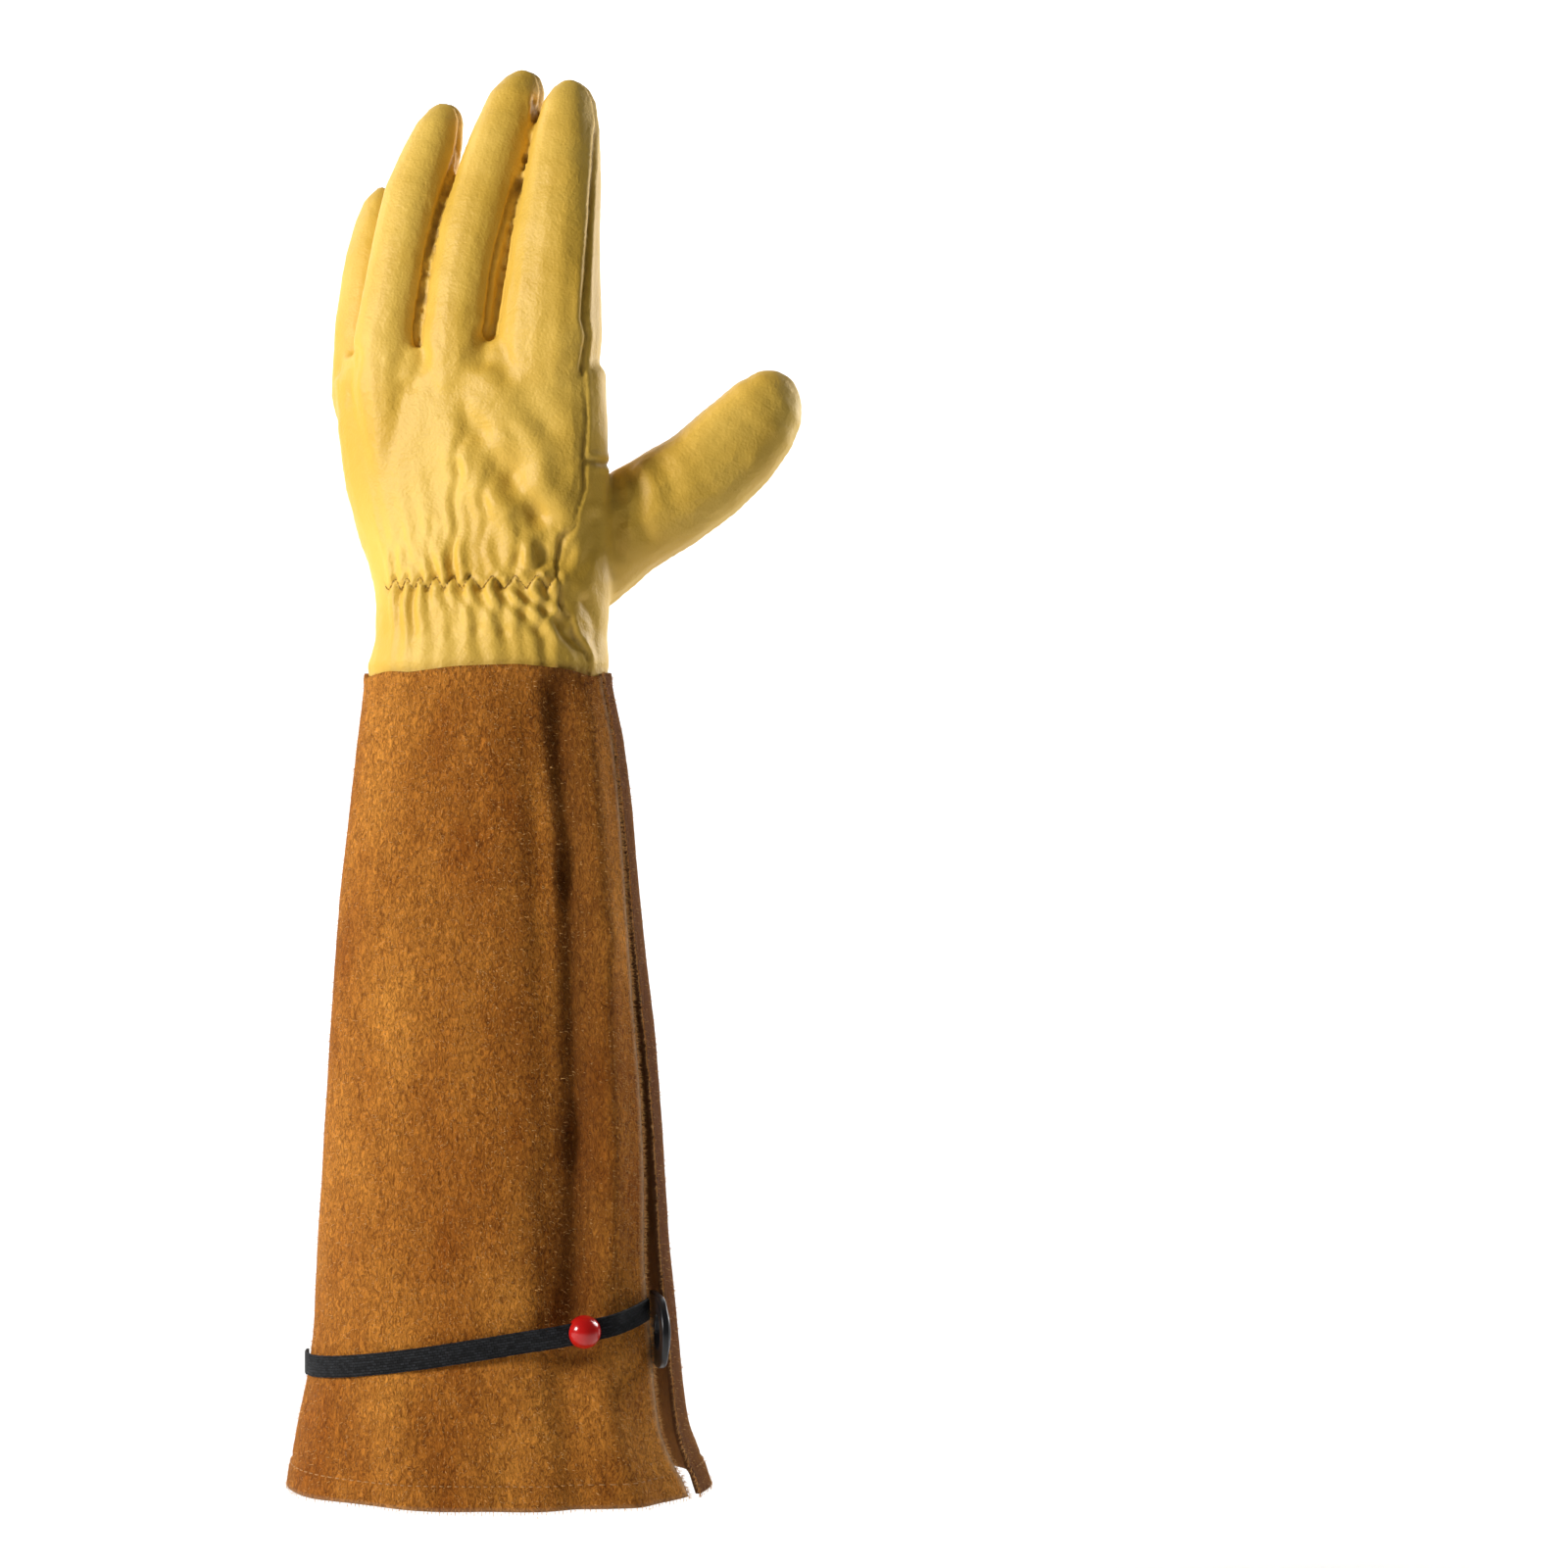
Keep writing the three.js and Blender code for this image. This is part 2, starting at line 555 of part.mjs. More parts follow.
// The seam between back and palm down the outer edge of the hand, from the little finger.
const OUTER_SEAM_ALONG = [0.92, 0.7, 0.4, 0.12];
const OUTER_SEAM_UP = [0.74, 0.5, 0.25, -0.03];
function outerSeam() {
  const station = (section) => [inSection(section, -0.5, 0), inSection(section, -1.4, 0)];
  const finger = OUTER_SEAM_ALONG.map((along) => station(fingerSection(FINGERS.little, along)));
  const palm = OUTER_SEAM_UP.map((up) => station(palmSection(up)));
  return blade(finger.concat(palm));
}

// The seam over a fingertip, from one side of the finger to the other.
const TIP_SEAM_ALONG = [0.77, 0.87, 0.96, 1.05];
function tipSeam(finger) {
  const stations = TIP_SEAM_ALONG.map((along) => {
    const section = fingerSection(finger, Math.min(along, 1));
    section.middle.z += Math.max(along - 1, 0) * finger.length;
    const reach = (open) => (open || along > 0.85 ? 0.75 * finger.width : 0.15 * finger.width);
    const ulnar = section.middle.clone().addScaledVector(section.across, -reach(finger !== FINGERS.little));
    return [ulnar, section.middle.clone().addScaledVector(section.across, reach(finger !== FINGERS.index))];
  });
  return blade(stations);
}

// The strip between two fingers: a slab from one finger's middle to the other's, closing to a point where
// each finger's side strip ends. Grow widens it by the gap of its seams.
const STRIP_FOOT = 0.925;
const STRIP_END = 0.895;
const STRIP_BACK = -0.5;
const STRIP_FRONT = 0.5;
function stripRegion(ulnar, radial, grow) {
  const foot = PALM_FOOT + STRIP_FOOT * PALM_LENGTH;
  const root = PALM_FOOT + ulnar.root.up * PALM_LENGTH;
  const top = root + STRIP_END * Math.max(ulnar.length, radial.length);
  const steps = 7;
  const rings = [];
  for (let i = 0; i <= steps; i += 1) {
    const height = foot + ((top - foot) * i) / steps - (i === 0 ? grow : 0) + (i === steps ? grow : 0);
    const corner = (finger, facing, edge) => {
      const along = Math.min((height - root) / finger.length, STRIP_END);
      const section = fingerSection(finger, along);
      const close = THREE.MathUtils.smoothstep(along, 0.7, STRIP_END);
      const taper = 1 - THREE.MathUtils.smoothstep(along, 0.45, STRIP_END);
      const point = inSection(section, facing * 1.3 * close, edge * taper);
      point.addScaledVector(section.through, Math.sign(edge) * (grow + 0.05));
      point.addScaledVector(section.across, -facing * grow);
      return point.setZ(height);
    };
    rings.push([
      corner(ulnar, 1, STRIP_BACK),
      corner(radial, -1, STRIP_BACK),
      corner(radial, -1, STRIP_FRONT),
      corner(ulnar, 1, STRIP_FRONT),
    ]);
  }
  return loft(rings);
}

// The seam across the foot of a separate finger front.
const BASE_SEAM_ALONG = 0.125;
const BASE_SEAM_REACH = 1.16;
function baseSeam(finger) {
  const section = fingerSection(finger, BASE_SEAM_ALONG);
  const stations = [-1, -0.5, 0, 0.5, 1].map((share) => {
    const u = share * BASE_SEAM_REACH;
    return [inSection(section, u, 0.2), inSection(section, u, 1.7)];
  });
  return blade(stations);
}

// The seam up the palm side between two fingers, from the foot of their fronts to above the crotch.
const VALLEY_TOP = 1.14;
function valleySeam(ulnar, radial) {
  const root = ulnar.root.up * PALM_LENGTH;
  const low = root + BASE_SEAM_ALONG * Math.min(FINGERS.ring.length, radial.length);
  const high = VALLEY_TOP * PALM_LENGTH;
  const stations = [0, 1 / 3, 2 / 3, 1].map((share) => {
    const height = THREE.MathUtils.lerp(low, high, share) - root;
    const one = fingerSection(ulnar, height / ulnar.length);
    const other = fingerSection(radial, height / radial.length);
    const touch = one.middle.clone().lerp(other.middle, one.wide / (one.wide + other.wide));
    const away = other.middle.clone().sub(one.middle);
    const palmward = new THREE.Vector3(-away.y, away.x, 0).normalize();
    return [touch, touch.clone().addScaledVector(palmward, radial.depth)];
  });
  return blade(stations);
}

// The thumb's seams: one up the palm side from the cuff, along the thumb's lower edge and over its tip, one
// along its upper edge, and one across the crotch to the edge seam of the back.
const THUMB_SEAM_UP = [
  { up: -0.03, inner: [0.35, 0.2], outer: [0.5, 1.5] },
  { up: 0, inner: [0.35, 0.2], outer: [0.5, 1.5] },
  { up: 0.13, inner: [0.4, 0.2], outer: [0.64, 1.5] },
  { up: 0.24, inner: [0.5, 0.2], outer: [0.9, 1.45] },
];
const THUMB_SEAM_CROTCH = [
  { up: 0.572, inner: [0.4, 0.54], outer: [0.54, 1.09] },
  { up: 0.6, inner: [0.61, 0.21], outer: [0.81, 1.01] },
  { up: 0.625, inner: [0.5, 0], outer: [1.03, 0.2] },
  { up: 0.625, inner: [0.42, -0.2], outer: [1.15, -0.9] },
  { up: 0.625, inner: [0.35, -0.3], outer: [1, -1.5] },
];
const THUMB_SEAM_REACH = 1.4;
const THUMB_SEAM_LOWER = [0.05, 0.3, 0.6, 0.92, 1.08];
const THUMB_SEAM_UPPER = [0.08, 0.24, 0.6, 0.92, 1.08];
function thumbSeams() {
  const onPalm = ({ up, inner, outer }) => {
    const section = palmSection(up);
    return [inSection(section, ...inner), inSection(section, ...outer)];
  };
  const onThumb = (along, side) => {
    const section = thumbSection(Math.min(along, 1));
    section.middle.addScaledVector(thumbAxis, Math.max(along - 1, 0) * THUMB_LENGTH);
    return [inSection(section, along > 0.9 ? -0.3 * side : 0, 0), inSection(section, THUMB_SEAM_REACH * side, 0.25)];
  };
  const lower = THUMB_SEAM_LOWER.map((along) => onThumb(along, 1));
  const upper = THUMB_SEAM_UPPER.map((along) => onThumb(along, -1));
  return [blade([...THUMB_SEAM_UP.map(onPalm), ...lower]), blade(upper), blade(THUMB_SEAM_CROTCH.map(onPalm))];
}

// The strap lies across the back of the cuff, rising to the thumb side, and lifts off the fold to pass
// through the bead. Its height at a point follows from how far across that point lies.
const STRAP_SLOPE = Math.tan(radians(10.2));
const STRAP_CLEARANCE = 0.9;
const STRAP_START = -177;
const STRAP_END = -38;
const STRAP_STEPS = 34;
const BEAD_ANGLE = -58.5;
const BEAD_BEND = 15;
const BEAD_SINK = 0.3;

function strapLift(degrees) {
  const atBead = BEAD_DIAMETER / 2 + BEAD_CLEARANCE - STRAP_CLEARANCE - STRAP_THICK / 2;
  const level = atBead + BEAD_SINK * cuffRelief(radians(BEAD_ANGLE), STRAP_HEIGHT / CUFF_LENGTH);
  return STRAP_CLEARANCE + level / (1 + Math.abs((degrees - BEAD_ANGLE) / BEAD_BEND) ** 4);
}

function onStrap(degrees, above, proud) {
  const middle = cuffSection(STRAP_HEIGHT / CUFF_LENGTH);
  const across = sectionPoint(middle, radians(degrees), 0).x - sectionPoint(middle, radians(BEAD_ANGLE), 0).x;
  const height = STRAP_HEIGHT + across * STRAP_SLOPE + above;
  const up = height / CUFF_LENGTH;
  const ridge = Math.max(cuffRelief(radians(degrees), up), 0);
  return sectionPoint(cuffSection(up), radians(degrees), ridge + strapLift(degrees) + proud).setZ(height);
}

function strap() {
  const half = STRAP_WIDTH / 2;
  const rings = [];
  for (let i = 0; i <= STRAP_STEPS; i += 1) {
    const degrees = THREE.MathUtils.lerp(STRAP_START, STRAP_END, i / STRAP_STEPS);
    rings.push([
      onStrap(degrees, -half, STRAP_THICK),
      onStrap(degrees, -half, 0),
      onStrap(degrees, half, 0),
      onStrap(degrees, half, STRAP_THICK),
    ]);
  }
  return loft(rings);
}

// A solid moved to a place and turned to three directions.
function placed(geometry, along, up, out, place) {
  geometry.applyMatrix4(new THREE.Matrix4().makeBasis(along, up, out).setPosition(place));
  return solid(geometry);
}

// The bead is a ball with a flat slot that the strap runs through.
function bead() {
  const place = onStrap(BEAD_ANGLE, 0, STRAP_THICK / 2);
  const along = onStrap(BEAD_ANGLE + 3, 0, 0).sub(onStrap(BEAD_ANGLE - 3, 0, 0)).normalize();
  const rise = onStrap(BEAD_ANGLE, 1, 0).sub(onStrap(BEAD_ANGLE, -1, 0)).normalize();
  const out = along.clone().cross(rise).normalize();
  const up = out.clone().cross(along);
  const ball = new THREE.SphereGeometry(BEAD_DIAMETER / 2, 16, 12);
  const slot = new THREE.BoxGeometry(
    2 * BEAD_DIAMETER,
    STRAP_WIDTH + 2 * BEAD_CLEARANCE,
    STRAP_THICK + 3 * BEAD_CLEARANCE,
  );
  return placed(ball, along, up, out, place).subtract(placed(slot, along, up, out, place));
}

// The tab is a stiff plate with one round end. It passes from under the palm-side edge of the slit, over the
// back-side edge, and its raised window shows the strap's end.
const TAB_HEIGHT_AT = STRAP_HEIGHT - 2.5;
const TAB_UNDERLAP = 6;
const TAB_RIM = 1;
const TAB_RIM_WIDTH = 2.2;
function tab() {
  const up = TAB_HEIGHT_AT / CUFF_LENGTH;
  const section = cuffSection(up);
  const slit = track(SLIT_PLACES, "up")(up);
  const edge = (way, proud) => {
    const out = sectionPoint(section, radians(slit.angle), 0).sub(section.middle);
    const swing = THREE.MathUtils.radToDeg((way * slit.open * SLIT_WIDTH) / 2 / out.length());
    return sectionPoint(section, radians(slit.angle + swing), proud);
  };
  const near = edge(-1, STRAP_CLEARANCE + STRAP_THICK + SEAM_GAP + TAB_THICK / 2);
  const far = edge(1, -SUEDE_WALL - SEAM_GAP - TAB_THICK / 2);
  const along = near.clone().sub(far).setZ(0).normalize();
  const rise = new THREE.Vector3(0, 0, 1);
  const out = along.clone().cross(rise);
  const radius = TAB_HEIGHT / 2;
  const end = TAB_LENGTH - TAB_UNDERLAP - radius;
  const outline = new THREE.Shape();
  outline.moveTo(-TAB_UNDERLAP, -radius + 3);
  outline.lineTo(-TAB_UNDERLAP + 3, -radius);
  outline.lineTo(end, -radius);
  outline.absarc(end, 0, radius, -Math.PI / 2, Math.PI / 2);
  outline.lineTo(-TAB_UNDERLAP + 3, radius);
  outline.lineTo(-TAB_UNDERLAP, radius - 3);
  outline.closePath();
  const window = new THREE.Path().absarc(end, 0, TAB_WINDOW / 2, 0, 2 * Math.PI);
  outline.holes.push(window);
  const rim = new THREE.Shape().absarc(end, 0, TAB_WINDOW / 2 + TAB_RIM_WIDTH, 0, 2 * Math.PI);
  rim.holes.push(window);
  const place = far.addScaledVector(out, -TAB_THICK / 2);
  const flat = { depth: TAB_THICK, bevelEnabled: false, curveSegments: 10 };
  const plate = placed(new THREE.ExtrudeGeometry(outline, flat), along, rise, out, place);
  const raised = { depth: TAB_THICK + TAB_RIM, bevelEnabled: false, curveSegments: 10 };
  return plate.add(placed(new THREE.ExtrudeGeometry(rim, raised), along, rise, out, place));
}

// A solid as a named mesh, without the slivers that cutting leaves.
const SLIVER = 0.03;
const STRIP_SLIVER = 0.13;
function piece(name, body, colour, roughness, sliver = SLIVER) {
  const made = body.simplify(sliver).getMesh();
  const geometry = new THREE.BufferGeometry();
  geometry.setAttribute("position", new THREE.BufferAttribute(made.vertProperties, 3));
  geometry.setIndex(new THREE.BufferAttribute(made.triVerts, 1));
  const mesh = new THREE.Mesh(geometry, new THREE.MeshStandardMaterial({ color: colour, roughness, metalness: 0 }));
  mesh.name = name;
  return mesh;
}

// The largest body of a cut, which leaves out crumbs where two blades meet.
function largest(bodies) {
  return bodies.reduce((best, body) => (body.volume() > best.volume() ? body : best));
}

const LEATHER_YELLOW = "#e6c25a";
const gauntlet = new THREE.Group();
const { index, middle, ring, little } = FINGERS;
const shell = handShell();
const strips = [
  { name: "fourchette_index_middle", ulnar: middle, radial: index },
  { name: "fourchette_middle_ring", ulnar: ring, radial: middle },
  { name: "fourchette_ring_little", ulnar: little, radial: ring },
];
const panels = strips.reduce((left, { name, ulnar, radial }) => {
  const strip = shell.intersect(stripRegion(ulnar, radial, 0));
  gauntlet.add(piece(name, largest(strip.decompose()), LEATHER_YELLOW, 0.5, STRIP_SLIVER));
  return left.subtract(stripRegion(ulnar, radial, SEAM_GAP)).subtract(valleySeam(ulnar, radial));
}, shell);
const seams = [thumbSideSeam(), outerSeam(), ...thumbSeams(), baseSeam(middle), baseSeam(ring)];
Object.values(FINGERS).forEach((finger) => seams.push(tipSeam(finger)));
const loose = seams.reduce((left, seam) => left.subtract(seam), panels).decompose();

// Each panel is the loose body that holds a place on its own wall.
function panelAt(section, u, v) {
  const probe = inSection(section, u, v);
  const distance = (body) => {
    const made = body.getMesh();
    let least = Infinity;
    for (let i = 0; i < made.vertProperties.length; i += made.numProp) {
      least = Math.min(least, probe.distanceTo(new THREE.Vector3().fromArray(made.vertProperties, i)));
    }
    return least;
  };
  const solids = loose.filter((body) => body.volume() > LEATHER_WALL ** 3);
  return solids.reduce((best, body) => (distance(body) < distance(best) ? body : best));
}
gauntlet.add(piece("back_panel", panelAt(palmSection(0.5), 0, -1), LEATHER_YELLOW, 0.5));
gauntlet.add(piece("palm_panel", panelAt(palmSection(0.5), 0, 1), LEATHER_YELLOW, 0.5));
gauntlet.add(piece("middle_finger_front", panelAt(fingerSection(middle, 0.5), 0, 1), LEATHER_YELLOW, 0.5));
gauntlet.add(piece("ring_finger_front", panelAt(fingerSection(ring, 0.5), 0, 1), LEATHER_YELLOW, 0.5));
gauntlet.add(piece("thumb_back", panelAt(thumbSection(0.5), 0, -1), LEATHER_YELLOW, 0.5));
gauntlet.add(piece("suede_cuff", suedeCuff(), "#a8601e", 0.9));
gauntlet.add(piece("cuff_strap", strap(), "#18171a", 0.7));
gauntlet.add(piece("strap_bead", bead(), "#d3221f", 0.2));
gauntlet.add(piece("buckle_tab", tab(), "#141416", 0.35));
export default gauntlet;
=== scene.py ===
import math

import bmesh
import bpy
import numpy as np
from mathutils import Matrix, Vector, noise
from mathutils.bvhtree import BVHTree


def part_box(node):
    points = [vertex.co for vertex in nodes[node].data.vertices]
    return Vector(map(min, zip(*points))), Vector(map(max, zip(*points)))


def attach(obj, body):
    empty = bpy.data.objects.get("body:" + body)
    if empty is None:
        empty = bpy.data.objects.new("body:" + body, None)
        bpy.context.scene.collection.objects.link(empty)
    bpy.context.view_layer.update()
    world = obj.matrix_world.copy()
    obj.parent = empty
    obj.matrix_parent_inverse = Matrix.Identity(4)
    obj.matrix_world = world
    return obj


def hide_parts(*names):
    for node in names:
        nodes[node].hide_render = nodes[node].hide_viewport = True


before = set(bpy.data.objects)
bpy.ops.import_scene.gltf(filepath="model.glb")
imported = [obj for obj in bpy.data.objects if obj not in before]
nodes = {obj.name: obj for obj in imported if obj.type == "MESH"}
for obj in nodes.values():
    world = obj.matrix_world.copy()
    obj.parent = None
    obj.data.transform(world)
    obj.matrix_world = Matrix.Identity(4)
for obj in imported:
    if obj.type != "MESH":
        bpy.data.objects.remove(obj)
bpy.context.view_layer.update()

# GRAIN LEATHER
# Yellow cowhide, tanned and dyed through, with a smooth half-gloss grain side outwards. Fine pebbles and
# pores cover it, the colour drifts a little from place to place, and painted shade darkens the seams.


def pattern(tree, kind, where, **values):
    texture = tree.nodes.new(kind)
    for socket, value in values.items():
        texture.inputs[socket].default_value = value
    tree.links.new(where, texture.inputs["Vector"])
    return texture


def two_tones(tree, amount, dark, light):
    ramp = tree.nodes.new("ShaderNodeValToRGB")
    for stop, (position, colour) in zip(ramp.color_ramp.elements, (dark, light)):
        stop.position = position
        stop.color = colour
    tree.links.new(amount, ramp.inputs["Fac"])
    return ramp.outputs["Color"]


def tinted(tree, mark, base, colour):
    share = tree.nodes.new("ShaderNodeAttribute")
    share.attribute_name = mark
    mixed = tree.nodes.new("ShaderNodeMix")
    mixed.data_type = "RGBA"
    mixed.inputs[7].default_value = colour
    tree.links.new(share.outputs["Fac"], mixed.inputs[0])
    tree.links.new(base, mixed.inputs[6])
    return mixed.outputs[2]


def fine_relief(tree, height, strength, distance, under=None):
    bump = tree.nodes.new("ShaderNodeBump")
    bump.inputs["Strength"].default_value = strength
    bump.inputs["Distance"].default_value = distance
    tree.links.new(height, bump.inputs["Height"])
    if under is not None:
        tree.links.new(under, bump.inputs["Normal"])
    return bump.outputs["Normal"]


leather = bpy.data.materials.new("grain_leather")
leather.use_nodes = True
tree = leather.node_tree
shader = tree.nodes["Principled BSDF"]
shader.inputs["Specular IOR Level"].default_value = 0.42
place = tree.nodes.new("ShaderNodeTexCoord").outputs["Object"]
drift = pattern(tree, "ShaderNodeTexNoise", place, Scale=22, Detail=4)
deep, bright = (0.3, (0.7, 0.42, 0.045, 1)), (0.7, (0.84, 0.56, 0.1, 1))
tones = two_tones(tree, drift.outputs["Fac"], deep, bright)
# Painted shade: the "seam" mark darkens the colour in the seam grooves, along the shirring crease and on the
# inner faces.
shaded = tinted(tree, "seam", tones, (0.2, 0.1, 0.012, 1))
tree.links.new(shaded, shader.inputs["Base Color"])
gloss = tree.nodes.new("ShaderNodeMapRange")
gloss.inputs["To Min"].default_value = 0.43
gloss.inputs["To Max"].default_value = 0.6
tree.links.new(drift.outputs["Fac"], gloss.inputs["Value"])
tree.links.new(gloss.outputs["Result"], shader.inputs["Roughness"])
pebbles = pattern(tree, "ShaderNodeTexVoronoi", place, Scale=1050)
pebbles.feature = "SMOOTH_F1"
crinkle = pattern(tree, "ShaderNodeTexNoise", place, Scale=260, Detail=6, Roughness=0.6)
creasing = pattern(tree, "ShaderNodeTexNoise", place, Scale=60, Detail=3, Distortion=1.2)
pebble_relief = fine_relief(tree, pebbles.outputs["Distance"], 0.3, 0.0004)
crinkle_relief = fine_relief(tree, crinkle.outputs["Fac"], 0.35, 0.0008, pebble_relief)
crease_relief = fine_relief(tree, creasing.outputs["Fac"], 0.35, 0.0016, crinkle_relief)
tree.links.new(crease_relief, shader.inputs["Normal"])

# THE LEATHER HAND
# A hand sewn inside out from grain leather panels and turned, so every seam is a groove between two rounded
# edges. All panels are first drawn as one skin over the CAD panels, which gives them one smooth surface.
panel_names = [
    "back_panel",
    "palm_panel",
    "middle_finger_front",
    "ring_finger_front",
    "thumb_back",
    "fourchette_index_middle",
    "fourchette_middle_ring",
    "fourchette_ring_little",
]
mould = bmesh.new()
for name in panel_names:
    mould.from_mesh(nodes[name].data)
# A plug that closes the mould at the wrist.
wrist_low, wrist_high = 0.2974, 0.3
wrist_half_width, wrist_half_depth = 0.0449, 0.0285
wrist_squareness = 2.2
wrist_turn = math.radians(7.9)
wrist_x, wrist_y = -0.00454, 0.00195
plug_sides = 72
plug = []
for level in (wrist_low, wrist_high):
    ring = []
    for step in range(plug_sides):
        angle = 2 * math.pi * step / plug_sides
        c, s = math.cos(angle), math.sin(angle)
        u = math.copysign(abs(c) ** (2 / wrist_squareness), c) * wrist_half_width
        v = math.copysign(abs(s) ** (2 / wrist_squareness), s) * wrist_half_depth
        x = wrist_x + u * math.cos(wrist_turn) + v * math.sin(wrist_turn)
        y = wrist_y - u * math.sin(wrist_turn) + v * math.cos(wrist_turn)
        ring.append(mould.verts.new((x, y, level)))
    plug.append(ring)
for step in range(plug_sides):
    after = (step + 1) % plug_sides
    mould.faces.new((plug[0][step], plug[0][after], plug[1][after], plug[1][step]))
mould.faces.new(list(reversed(plug[0])))
mould.faces.new(plug[1])

# Wedges that fill the gaps at the feet of the fingers: the three crotches, the base seam of the two finger
# fronts and the outer side of the index finger. Each has a foot and a top at a height in millimetres, and
# the depths of its back and palm faces at its two ends across.
wedges = [
    {
        "across": (-11.5, 6.5),
        "foot": {"up": 404, "back": (-15.6, -19.3), "palm": (22.0, 16.6)},
        "top": {"up": 418, "back": (-11.4, -13.4), "palm": (13.4, 7.6)},
    },
    {
        "across": (-38.0, -24.5),
        "foot": {"up": 404, "back": (-7.6, -11.4), "palm": (28.0, 26.0)},
        "top": {"up": 416, "back": (-4.6, -8.6), "palm": (20.2, 17.6)},
    },
    {
        "across": (-60.0, -53.0),
        "foot": {"up": 403, "back": (9.8, 1.2), "palm": (33.6, 36.0)},
        "top": {"up": 415, "back": (16.4, 3.6), "palm": (34.6, 37.2)},
    },
    {
        "across": (-26.0, 24.0),
        "foot": {"up": 403, "back": (18.0, 4.0), "palm": (24.4, 9.2)},
        "top": {"up": 417, "back": (9.0, -1.5), "palm": (15.2, 1.8)},
    },
    {
        "across": (31.5, 36.5),
        "foot": {"up": 406, "back": (-14.4, -12.4), "palm": (-4.0, -4.0)},
        "top": {"up": 414, "back": (-14.4, -12.4), "palm": (-4.0, -4.0)},
    },
]
for wedge in wedges:
    near, far = wedge["across"]
    corners = []
    for end in (wedge["foot"], wedge["top"]):
        corners.append((near, end["back"][0], end["up"]))
        corners.append((far, end["back"][1], end["up"]))
        corners.append((far, end["palm"][1], end["up"]))
        corners.append((near, end["palm"][0], end["up"]))
    made = [mould.verts.new([value / 1000 for value in corner]) for corner in corners]
    bmesh.ops.convex_hull(mould, input=made)

# A thin backing along the little finger side of the wrist, drawn through the mould's own points there.
edge_side = [v.co.copy() for v in mould.verts if v.co.x < -0.033 and 0.2985 < v.co.z < 0.35]
slab_reach = 4.5
for level in range(299, 350, 4):
    slab = [co for co in edge_side if abs(co.z * 1000 - level) < slab_reach]
    if len(slab) < 6:
        continue
    middle_y = sum(co.y for co in slab) / len(slab)
    made = [mould.verts.new((co.x + 0.0006, middle_y + (co.y - middle_y) * 0.97, co.z)) for co in slab]
    bmesh.ops.convex_hull(mould, input=made)
mould_mesh = bpy.data.meshes.new("hand_mould")
mould.to_mesh(mould_mesh)
mould.free()
mould_object = bpy.data.objects.new("hand_mould", mould_mesh)
bpy.context.scene.collection.objects.link(mould_object)
closing = 0.0006
for size in (0.0008, 0.00105):
    remesh = mould_object.modifiers.new("remesh", "REMESH")
    remesh.mode = "VOXEL"
    remesh.voxel_size = size
    if size < 0.001:
        swell = mould_object.modifiers.new("swell", "DISPLACE")
        swell.mid_level = 0
        swell.strength = closing
drawn = mould_object.evaluated_get(bpy.context.evaluated_depsgraph_get()).to_mesh()
points = np.zeros(len(drawn.vertices) * 3)
drawn.vertices.foreach_get("co", points)
points = points.reshape(-1, 3)
quads = np.array([list(p.vertices) for p in drawn.polygons if len(p.vertices) == 4])
mould_object.evaluated_get(bpy.context.evaluated_depsgraph_get()).to_mesh_clear()
bpy.data.objects.remove(mould_object)

def largest_part(faces, how_many):
    group = np.arange(how_many)
    for repeat in range(4000):
        lowest = group[faces].min(axis=1)
        before = group.copy()
        for corner in range(4):
            np.minimum.at(group, faces[:, corner], lowest)
        group = group[group]
        if (group == before).all():
            break
    sizes = np.bincount(group[faces[:, 0]], minlength=how_many)
    return faces[group[faces[:, 0]] == sizes.argmax()]


def without_spares(co, faces):
    used = np.unique(faces)
    renumber = np.full(len(co), -1)
    renumber[used] = np.arange(len(used))
    return co[used], renumber[faces]


def neighbours(faces):
    joined = np.concatenate([faces[:, [a, (a + 1) % 4]] for a in range(4)])
    return np.unique(np.sort(joined, axis=1), axis=0)


# Only the outer skin is kept, open at the wrist.
skin_foot = 0.2986
quads = largest_part(quads, len(points))
quads = quads[points[quads][:, :, 2].min(axis=1) > skin_foot]
points, quads = without_spares(points, quads)
pairs = neighbours(quads)
count = np.bincount(pairs.ravel(), minlength=len(points))


def relaxed(values, share):
    summed = np.zeros_like(values)
    for axis in range(values.shape[1]):
        summed[:, axis] = np.bincount(pairs[:, 0], values[pairs[:, 1], axis], len(values))
        summed[:, axis] += np.bincount(pairs[:, 1], values[pairs[:, 0], axis], len(values))
    return values + share * (summed / count[:, None] - values)


def outward(co, faces):
    a = co[faces[:, 2]] - co[faces[:, 0]]
    b = co[faces[:, 3]] - co[faces[:, 1]]
    face_normal = np.cross(a, b)
    total = np.zeros_like(co)
    for corner in range(4):
        for axis in range(3):
            total[:, axis] += np.bincount(faces[:, corner], face_normal[:, axis], len(co))
    return total / np.maximum(np.linalg.norm(total, axis=1, keepdims=True), 1e-12)

# The hollow's own wall is dropped: only what can be seen from somewhere outside stays.
looking = outward(points, quads)
whole_skin = BVHTree.FromPolygons(points.tolist(), quads.tolist())
leans = [(0, 0)] + [(0.9, 60 * k) for k in range(6)] + [(2.4, 30 + 45 * k) for k in range(8)]
seen = np.zeros(len(points), bool)
for index in range(len(points)):
    out = Vector(looking[index])
    sideways = out.orthogonal().normalized()
    third = out.cross(sideways)
    start = Vector(points[index]) + out * 0.0004
    for lean, degrees in leans:
        turn = math.radians(degrees)
        way = out + (sideways * math.cos(turn) + third * math.sin(turn)) * lean
        if whole_skin.ray_cast(start, way)[0] is None:
            seen[index] = True
            break
share_seen = seen.astype(float)[:, None]
for repeat in range(6):
    share_seen = relaxed(share_seen, 0.6)
quads = quads[share_seen[quads][:, :, 0].mean(axis=1) > 0.35]
quads = largest_part(quads, len(points))
points, quads = without_spares(points, quads)
